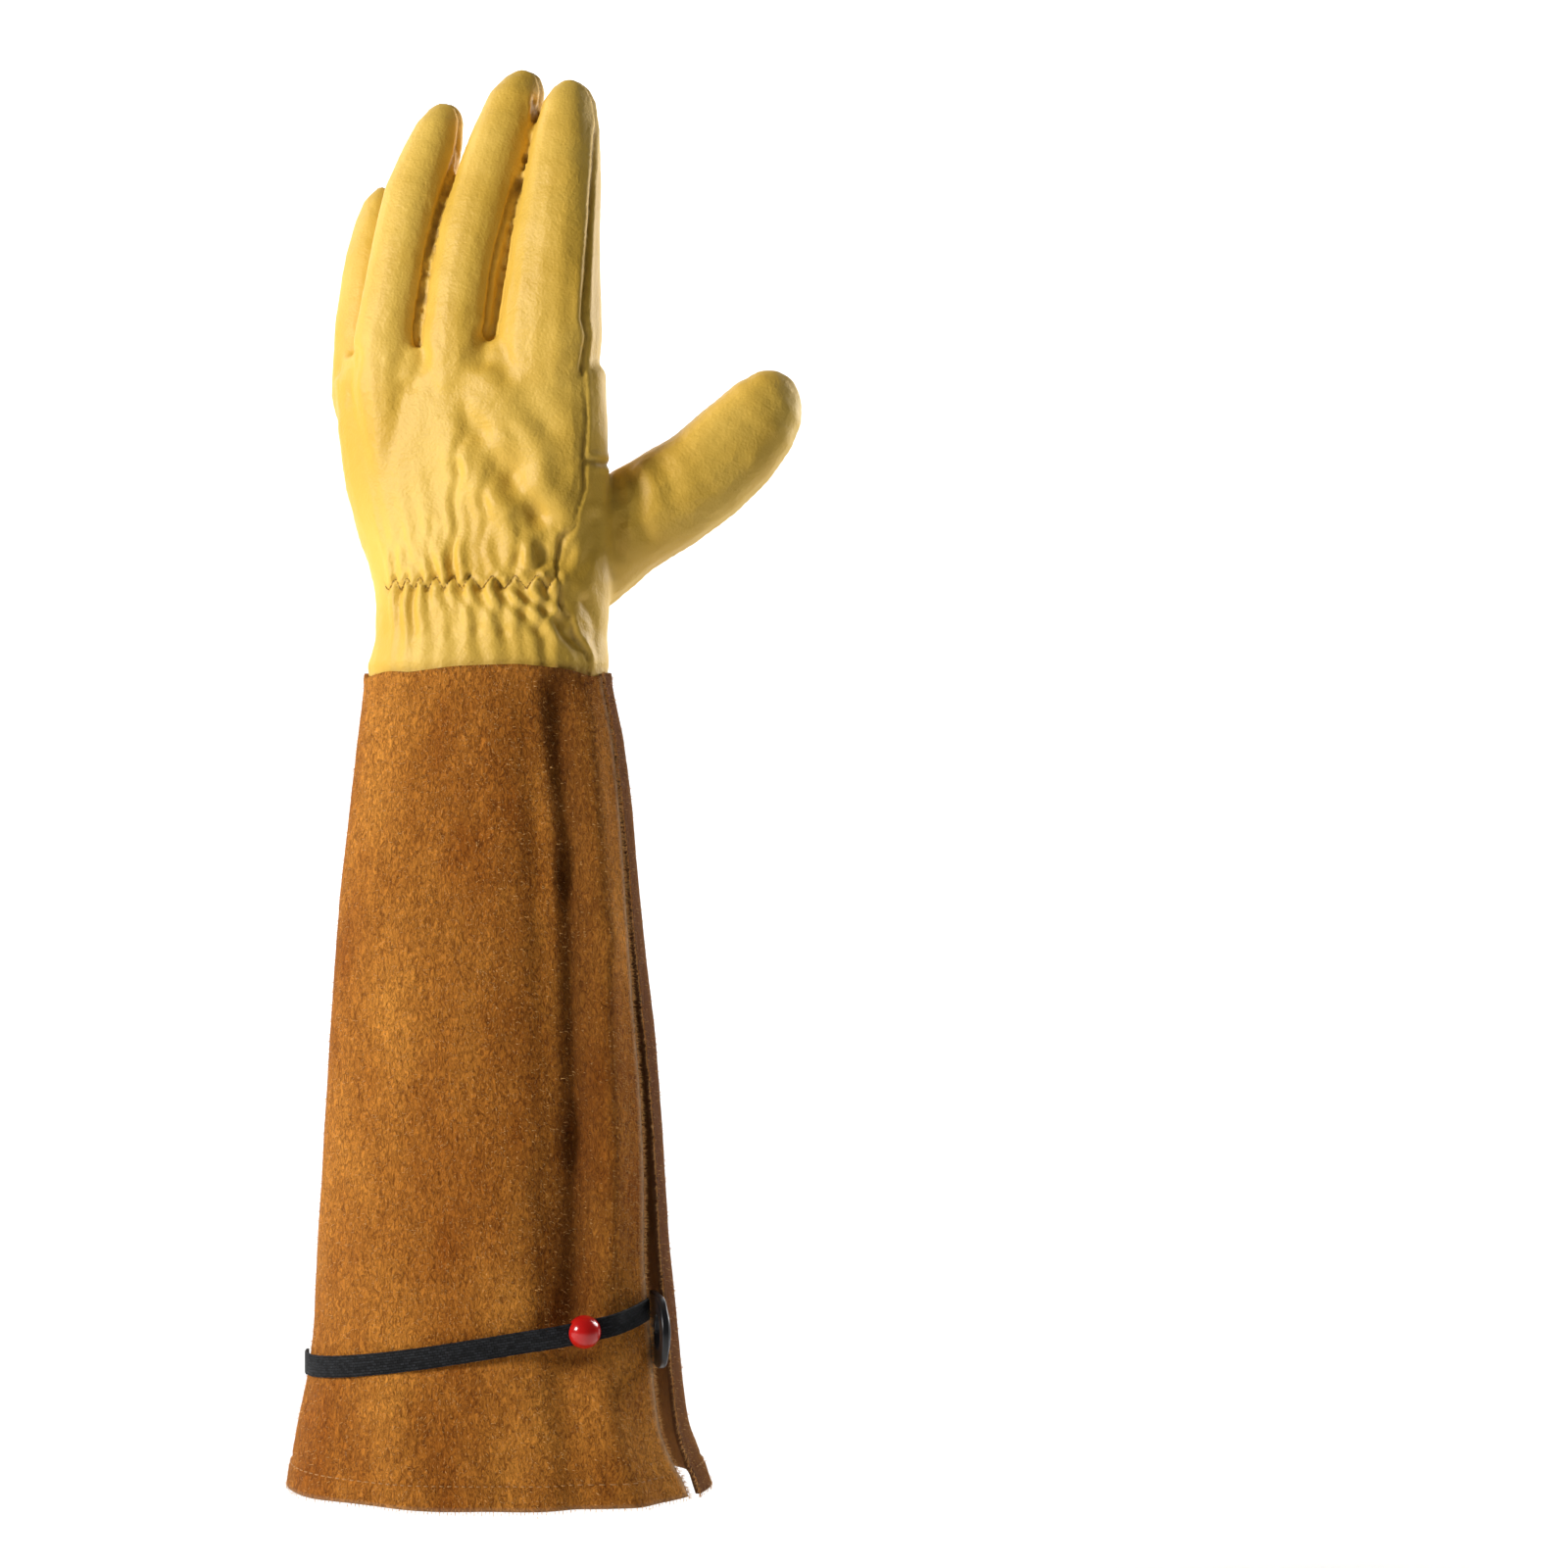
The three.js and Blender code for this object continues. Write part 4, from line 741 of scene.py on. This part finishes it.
bpy.context.scene.collection.objects.link(fibres)
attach(fibres, "root")

# STITCHES
# Thread ends of short lockstitches: a fine tan row along the turned hem of the cuff and a yellow elastic one
# in the zigzag across the wrist. Each stitch is a small rounded bar that sinks in at both ends.
stitch_points, stitch_faces = [], []


def add_stitch(start_at, end_at, facing, thick):
    along = end_at - start_at
    length = np.linalg.norm(along)
    along = along / length
    side = np.cross(along, facing)
    side = side / np.linalg.norm(side)
    first = len(stitch_points)
    bar = ((0, -0.6, 0.45), (0.15, 0.1, 0.85), (0.5, 0.45, 1.0), (0.85, 0.1, 0.85), (1, -0.6, 0.45))
    for share, lift, size in bar:
        for step in range(6):
            angle = 2 * math.pi * step / 6
            spot = start_at + along * length * share + facing * thick * lift
            around = side * math.cos(angle) + facing * math.sin(angle)
            stitch_points.append(spot + around * thick * 0.5 * size)
    for level in range(4):
        for step in range(6):
            a, b = first + level * 6 + step, first + level * 6 + (step + 1) % 6
            stitch_faces.append((a, b, b + 6, a + 6))
    stitch_faces.append(tuple(first + 5 - step for step in range(6)))
    stitch_faces.append(tuple(first + 24 + step for step in range(6)))
def sewn(name, thread_name, colour, roughness):
    mesh = bpy.data.meshes.new(name)
    mesh.from_pydata([tuple(p) for p in stitch_points], [], stitch_faces)
    mesh.polygons.foreach_set("use_smooth", [True] * len(stitch_faces))
    thread = bpy.data.materials.new(thread_name)
    thread.use_nodes = True
    shader = thread.node_tree.nodes["Principled BSDF"]
    shader.inputs["Base Color"].default_value = colour
    shader.inputs["Roughness"].default_value = roughness
    mesh.materials.append(thread)
    stitching = bpy.data.objects.new(name, mesh)
    bpy.context.scene.collection.objects.link(stitching)
    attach(stitching, "root")
    stitch_points.clear()
    stitch_faces.clear()


across_at = np.arange(-41.5, 21.5, 0.9)
up_of = thread_height(np.interp(across_at, tooth_places, np.arange(len(tooth_places))))
skin_tree = BVHTree.FromPolygons(points.tolist(), quads.tolist())
laid = []
for x, z in zip(across_at, up_of):
    spot, facing, face, distance = skin_tree.ray_cast(Vector((x / 1000, -0.2, z / 1000)), Vector((0, 1, 0)))
    laid.append((np.array(spot), np.array(facing)))
for (a, facing), (b, unused) in zip(laid[:-1], laid[1:]):
    add_stitch(a + facing * 0.00002, b + facing * 0.00002, facing, 0.00042)
sewn("wrist_thread", "wrist_thread", (0.42, 0.25, 0.035, 1), 0.6)

hem_row = int(round(hem / 1000 / cuff_top * (rows - 1)))
for column in range(3, columns - 6, 2):
    a, b = outside[hem_row, column], outside[hem_row, column + 1]
    add_stitch(a + out_of[hem_row, column] * 0.0001, b + (b - a) * 0.25, out_of[hem_row, column], 0.0005)
sewn("hem_stitches", "hem_thread", (0.5, 0.24, 0.07, 1), 0.7)

# WEBBING
# Narrow black polyester tape. Its weave shows as staggered short floats in rows across the tape, with a
# slight shine on each, and plain woven edges.
webbing = bpy.data.materials.new("webbing")
webbing.use_nodes = True
tree = webbing.node_tree
shader = tree.nodes["Principled BSDF"]
shader.inputs["Roughness"].default_value = 0.7
shader.inputs["Specular IOR Level"].default_value = 0.14
tape_map = tree.nodes.new("ShaderNodeUVMap")
tape_map.uv_map = "tape"
weave = pattern(tree, "ShaderNodeTexBrick", tape_map.outputs["UV"], Scale=1000)
weave.inputs["Mortar Size"].default_value = 0.16
weave.inputs["Mortar Smooth"].default_value = 1.0
weave.inputs["Brick Width"].default_value = 1.7
weave.inputs["Row Height"].default_value = 0.95
weave.inputs["Color1"].default_value = (0.01, 0.0105, 0.012, 1)
weave.inputs["Color2"].default_value = (0.026, 0.028, 0.032, 1)
weave.inputs["Mortar"].default_value = (0.004, 0.004, 0.004, 1)
tree.links.new(weave.outputs["Color"], shader.inputs["Base Color"])
raised = tree.nodes.new("ShaderNodeMath")
raised.operation = "SUBTRACT"
raised.inputs[0].default_value = 1.0
tree.links.new(weave.outputs["Fac"], raised.inputs[1])
weave_relief = fine_relief(tree, raised.outputs["Value"], 0.9, 0.0004)
tree.links.new(weave_relief, shader.inputs["Normal"])

# THE CUFF STRAP
# The tape that closes the slit: sewn on at the outer side of the cuff, laid across its back, passed through
# the bead and brought to the tab at the slit.
strap_shape = bmesh.new()
strap_shape.from_mesh(nodes["cuff_strap"].data)
strap_tree = BVHTree.FromBMesh(strap_shape)
strap_shape.free()
strap_low, strap_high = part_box("cuff_strap")
strap_line = []
for degrees in np.linspace(-184, -22, 420):
    out = Vector((math.cos(math.radians(degrees)), math.sin(math.radians(degrees)), 0))
    hits = []
    for height in np.arange(strap_low.z + 0.0003, strap_high.z, 0.0005):
        middle = Vector((-0.002, 0, height))
        spot = strap_tree.ray_cast(middle, out)[0]
        if spot is not None:
            hits.append(spot)
    if len(hits) > 8:
        centre = sum(hits, Vector()) / len(hits)
        strap_line.append(centre)
strap_line = np.array([list(p) for p in strap_line])
for repeat in range(10):
    strap_line[1:-1] = strap_line[1:-1] * 0.5 + (strap_line[:-2] + strap_line[2:]) * 0.25
heading = strap_line[-1] - strap_line[-4]
heading = heading / np.linalg.norm(heading)
tail = []
for step in range(1, 17):
    heading = heading + np.array([-0.004, 0.035, 0])
    heading = heading / np.linalg.norm(heading)
    tail.append((tail[-1] if tail else strap_line[-1]) + heading * 0.0007)
strap_line = np.concatenate([strap_line, np.array(tail)])
steps = np.linalg.norm(np.diff(strap_line, axis=0), axis=1)
run_length = np.concatenate([[0], np.cumsum(steps)])
stations = 260
wanted = np.linspace(0, run_length[-1], stations)
strap_line = np.stack([np.interp(wanted, run_length, strap_line[:, axis]) for axis in range(3)], axis=1)
half, thick = 0.0039, 0.0012
tape_edge = 0.0004
section = []
for corner_x, begin in ((half - tape_edge, 0), (-half + tape_edge, 90)):
    for step in range(4):
        angle = math.radians(begin + step * 30)
        corner_x_out = corner_x + tape_edge * math.cos(angle)
        section.append((corner_x_out, thick / 2 - tape_edge + tape_edge * math.sin(angle)))
section = section + [(-x, -y) for x, y in section]
strap_mesh_points = []
for station in range(stations):
    before, after = strap_line[max(station - 1, 0)], strap_line[min(station + 1, stations - 1)]
    along = (after - before) / np.linalg.norm(after - before)
    out = np.array([strap_line[station][0] + 0.002, strap_line[station][1], 0])
    out = out - along * (out @ along)
    out = out / np.linalg.norm(out)
    side = np.cross(out, along)
    for across_tape, proud in section:
        strap_mesh_points.append(strap_line[station] + side * across_tape + out * (proud + thick / 2))
count_round = len(section)
strap_faces = []
for station in range(stations - 1):
    for step in range(count_round):
        a = station * count_round + step
        b = station * count_round + (step + 1) % count_round
        strap_faces.append((a, a + count_round, b + count_round, b))
strap_faces.append(tuple(range(count_round)))
strap_faces.append(tuple((stations - 1) * count_round + step for step in reversed(range(count_round))))
mesh = bpy.data.meshes.new("cuff_strap_tape")
mesh.from_pydata([tuple(p) for p in strap_mesh_points], [], strap_faces)
mesh.polygons.foreach_set("use_smooth", [True] * len(strap_faces))
tape_uv = mesh.uv_layers.new(name="tape")
for polygon in mesh.polygons:
    for corner in polygon.loop_indices:
        vertex = mesh.loops[corner].vertex_index
        station, step = divmod(vertex, count_round)
        tape_uv.data[corner].uv = (wanted[station], section[step][0] + 0.01)
mesh.materials.append(webbing)
strap = bpy.data.objects.new("cuff_strap_tape", mesh)
bpy.context.scene.collection.objects.link(strap)
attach(strap, "root")
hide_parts("cuff_strap")

# THE BEAD
# A round bead of glossy red plastic with a flat hole that the strap is threaded through. It slides along the
# strap and holds by friction.
bead_low, bead_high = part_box("strap_bead")
bead_middle = (bead_low + bead_high) / 2
nearest = int(np.linalg.norm(strap_line - np.array(bead_middle), axis=1).argmin())
along = Vector(strap_line[min(nearest + 3, stations - 1)] - strap_line[max(nearest - 3, 0)]).normalized()
out = Vector((bead_middle.x + 0.002, bead_middle.y, 0))
out = (out - along * out.dot(along)).normalized()
side = out.cross(along)
turned_frame = Matrix((along, side, out)).transposed().to_4x4()
on_strap = Vector(strap_line[nearest]) + out * thick / 2
bead_place = Matrix.Translation(on_strap) @ turned_frame
bead_radius = 0.00595
ball = bmesh.new()
bmesh.ops.create_uvsphere(ball, u_segments=64, v_segments=40, radius=bead_radius, matrix=bead_place)
mesh = bpy.data.meshes.new("strap_bead_ball")
ball.to_mesh(mesh)
ball.free()
bead = bpy.data.objects.new("strap_bead_ball", mesh)
bpy.context.scene.collection.objects.link(bead)
def round_over(shape, edges):
    bmesh.ops.bevel(
        shape,
        geom=edges,
        offset=0.0006,
        offset_type="OFFSET",
        affect="EDGES",
        segments=4,
        profile=0.5,
        material=-1,
    )


hole = bmesh.new()
hole_size = Matrix.Diagonal((0.03, 0.0086, 0.0019, 1))
bmesh.ops.create_cube(hole, size=1, matrix=bead_place @ hole_size)
round_over(hole, list(hole.edges))
hole_mesh = bpy.data.meshes.new("bead_hole")
hole.to_mesh(hole_mesh)
hole.free()
hole_object = bpy.data.objects.new("bead_hole", hole_mesh)
bpy.context.scene.collection.objects.link(hole_object)
cut = bead.modifiers.new("hole", "BOOLEAN")
cut.operation = "DIFFERENCE"
cut.solver = "EXACT"
cut.object = hole_object
cut_mesh = bpy.data.meshes.new_from_object(bead.evaluated_get(bpy.context.evaluated_depsgraph_get()))
bead.modifiers.clear()
bead.data = cut_mesh
bpy.data.objects.remove(hole_object)
bead.data.polygons.foreach_set("use_smooth", [True] * len(bead.data.polygons))
bead.data.set_sharp_from_angle(angle=math.radians(35))
red = bpy.data.materials.new("bead_plastic")
red.use_nodes = True
shader = red.node_tree.nodes["Principled BSDF"]
shader.inputs["Base Color"].default_value = (0.56, 0.008, 0.007, 1)
shader.inputs["Roughness"].default_value = 0.2
shader.inputs["Coat Weight"].default_value = 0.3
shader.inputs["Coat Roughness"].default_value = 0.06
shader.inputs["Subsurface Weight"].default_value = 0.06
shader.inputs["Subsurface Radius"].default_value = (0.004, 0.001, 0.001)
bead.data.materials.clear()
bead.data.materials.append(red)
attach(bead, "root")
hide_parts("strap_bead")

# THE TAB
# A stiff moulded black plastic tab with a round end and a round raised window, fixed under one edge of the
# slit. Its edges are rounded and its rim is polished.
tab_shape = bmesh.new()
tab_shape.from_mesh(nodes["buckle_tab"].data)
tab_points = np.array([list(v.co) for v in tab_shape.verts])
tab_normal_sum = {}
for face in tab_shape.faces:
    key = tuple(round(c, 1) for c in face.normal)
    tab_normal_sum[key] = tab_normal_sum.get(key, 0) + face.calc_area()
tab_shape.free()
flat = Vector(max(tab_normal_sum, key=tab_normal_sum.get))
flat.z = 0
flat.normalize()
if flat.x < 0:
    flat = -flat
rise = Vector((0, 0, 1))
run = rise.cross(flat)
if run.y > 0:
    run = -run
depth_of = tab_points @ np.array(flat)
run_of = tab_points @ np.array(run)
back, rim_top = depth_of.min(), depth_of.max()
plate_thick, rim_high = 0.0026, rim_top - back
run_low, run_high = run_of.min(), run_of.max()
z_low, z_high = tab_points[:, 2].min(), tab_points[:, 2].max()
tab_radius = (z_high - z_low) / 2
centre_z = (z_high + z_low) / 2
centre_run = run_high - tab_radius
window = 0.00625
slices = 96


def tab_spot(along_tab, height, depth):
    return run * along_tab + rise * height + flat * depth


rounded = bmesh.new()
outer_loop, window_loop = [], []
corner = 0.003
for step in range(slices):
    angle = 2 * math.pi * step / slices
    c, s = math.cos(angle), math.sin(angle)
    if c >= 0:
        a, z = centre_run + tab_radius * c, centre_z + tab_radius * s
    else:
        span = centre_run - run_low
        scale = min(span / max(-c, 1e-9), tab_radius / max(abs(s), 1e-9))
        a, z = centre_run + c * scale, centre_z + s * scale
        gap_a, gap_z = a - run_low, tab_radius - abs(z - centre_z)
        if gap_a + gap_z < corner:
            push = (corner - gap_a - gap_z) / 2
            a += push
            z -= math.copysign(push, z - centre_z)
    outer_loop.append((a, z))
    window_loop.append((centre_run + window * c, centre_z + window * s))
levels = {}
for label, loop in (("outer", outer_loop), ("window", window_loop)):
    for depth in (back, back + plate_thick):
        levels[label, depth] = [rounded.verts.new(tab_spot(a, z, depth)) for a, z in loop]
for step in range(slices):
    after = (step + 1) % slices
    for depth, forwards in ((back, False), (back + plate_thick, True)):
        ring_out, ring_in = levels["outer", depth], levels["window", depth]
        corners = [ring_out[step], ring_out[after], ring_in[after], ring_in[step]]
        rounded.faces.new(corners if forwards else corners[::-1])
    low, high = levels["outer", back], levels["outer", back + plate_thick]
    rounded.faces.new((low[step], low[after], high[after], high[step]))
    low, high = levels["window", back], levels["window", back + plate_thick]
    rounded.faces.new((low[after], low[step], high[step], high[after]))
bmesh.ops.recalc_face_normals(rounded, faces=list(rounded.faces))
edges = [e for e in rounded.edges if len(e.link_faces) == 2 and e.calc_face_angle(0) > math.radians(50)]
round_over(rounded, edges)
rim_round, rim_sunk = 0.0011, 0.0002
rim_foot = back + plate_thick - rim_sunk
rim_rise = rim_high - plate_thick + rim_sunk
rim_section = []
for step in range(9):
    angle = math.pi * step / 8
    rim_out = window + rim_round - rim_round * math.cos(angle)
    rim_section.append((rim_out, rim_foot + rim_rise * math.sin(angle)))
rings = []
for step in range(slices):
    angle = 2 * math.pi * step / slices
    c, s = math.cos(angle), math.sin(angle)
    rings.append([])
    for r, depth in rim_section:
        rings[step].append(rounded.verts.new(tab_spot(centre_run + r * c, centre_z + r * s, depth)))
for step in range(slices):
    one, other = rings[step], rings[(step + 1) % slices]
    for level in range(len(rim_section) - 1):
        rounded.faces.new((one[level], other[level], other[level + 1], one[level + 1]))
    rounded.faces.new((one[-1], other[-1], other[0], one[0]))
bmesh.ops.recalc_face_normals(rounded, faces=list(rounded.faces))
mesh = bpy.data.meshes.new("buckle_tab_plate")
rounded.to_mesh(mesh)
rounded.free()
mesh.polygons.foreach_set("use_smooth", [True] * len(mesh.polygons))
mesh.set_sharp_from_angle(angle=math.radians(40))
black = bpy.data.materials.new("tab_plastic")
black.use_nodes = True
tree = black.node_tree
shader = tree.nodes["Principled BSDF"]
shader.inputs["Base Color"].default_value = (0.012, 0.012, 0.014, 1)
shader.inputs["Roughness"].default_value = 0.28
place = tree.nodes.new("ShaderNodeTexCoord").outputs["Object"]
scuffs = pattern(tree, "ShaderNodeTexNoise", place, Scale=380)
scuff_relief = fine_relief(tree, scuffs.outputs["Fac"], 0.08, 0.0003)
tree.links.new(scuff_relief, shader.inputs["Normal"])
mesh.materials.append(black)
tab = bpy.data.objects.new("buckle_tab_plate", mesh)
bpy.context.scene.collection.objects.link(tab)
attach(tab, "root")
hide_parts("buckle_tab")

# FLOOR AND BACKDROP
# A plain white sweep: a level floor below the cuff that curves up into a wall well behind the glove.
sweep = bmesh.new()
profile = [(-3.0, 0.0)]
for step in range(13):
    angle = math.radians(90 * step / 12)
    profile.append((1.6 + 0.9 * math.sin(angle), 0.9 - 0.9 * math.cos(angle)))
profile.append((2.5, 4.0))
left, right = [[sweep.verts.new((side_at, y, z - 0.08)) for y, z in profile] for side_at in (-5.0, 5.0)]
for step in range(len(profile) - 1):
    sweep.faces.new((left[step], right[step], right[step + 1], left[step + 1]))
mesh = bpy.data.meshes.new("backdrop")
sweep.to_mesh(mesh)
sweep.free()
mesh.polygons.foreach_set("use_smooth", [True] * len(mesh.polygons))
paper = bpy.data.materials.new("backdrop")
paper.use_nodes = True
shader = paper.node_tree.nodes["Principled BSDF"]
shader.inputs["Base Color"].default_value = (0.9, 0.9, 0.9, 1)
shader.inputs["Roughness"].default_value = 0.95
shader.inputs["Specular IOR Level"].default_value = 0.0
mesh.materials.append(paper)
backdrop = bpy.data.objects.new("backdrop", mesh)
bpy.context.scene.collection.objects.link(backdrop)

# LIGHT
# One large soft box at the upper left in front, a narrow one behind at the right for the bright rim, and
# two that wash the backdrop white.
lamps = [
    {
        "name": "key",
        "at": (-1.35, -0.8, 0.75),
        "to": (0.0, 0.0, 0.28),
        "size": 0.42,
        "power": 27.0,
        "tint": (1, 0.97, 0.93),
    },
    {
        "name": "rim",
        "at": (0.75, 0.5, 0.5),
        "to": (0.04, 0.0, 0.3),
        "size": 0.3,
        "power": 4.0,
        "tint": (1, 0.98, 0.95),
    },
    {
        "name": "wash_left",
        "at": (-1.6, 0.9, 1.6),
        "to": (-0.8, 2.6, 0.6),
        "size": 1.2,
        "power": 50.0,
        "tint": (1, 1, 1),
    },
    {
        "name": "wash_right",
        "at": (1.8, 0.9, 1.6),
        "to": (0.9, 2.6, 0.6),
        "size": 1.2,
        "power": 50.0,
        "tint": (1, 1, 1),
    },
]
for lamp in lamps:
    light = bpy.data.lights.new(lamp["name"], "AREA")
    light.shape = "SQUARE"
    light.size = lamp["size"]
    light.energy = lamp["power"]
    light.color = lamp["tint"]
    stand = bpy.data.objects.new(lamp["name"], light)
    stand.location = lamp["at"]
    stand.rotation_euler = (Vector(lamp["to"]) - Vector(lamp["at"])).to_track_quat("-Z", "Y").to_euler()
    bpy.context.scene.collection.objects.link(stand)
world = bpy.data.worlds.new("studio")
world.use_nodes = True
world.node_tree.nodes["Background"].inputs["Color"].default_value = (1, 1, 1, 1)
world.node_tree.nodes["Background"].inputs["Strength"].default_value = 0.05
bpy.context.scene.world = world
bpy.context.scene.view_settings.view_transform = "Standard"

# CAMERA
# Level with the middle of the glove, a little to its thumb side, as in the photograph.
lens_to_glove = 1.3
camera_data = bpy.data.cameras.new("camera")
camera_data.type = "PERSP"
camera_data.sensor_width = 36
camera_data.lens = 36 * lens_to_glove / 0.576
camera_data.clip_end = 20
camera = bpy.data.objects.new("camera", camera_data)
camera.location = (0.1044, -lens_to_glove, 0.2563)
camera.rotation_euler = (math.radians(90), 0, 0)
bpy.context.scene.collection.objects.link(camera)
bpy.context.scene.camera = camera
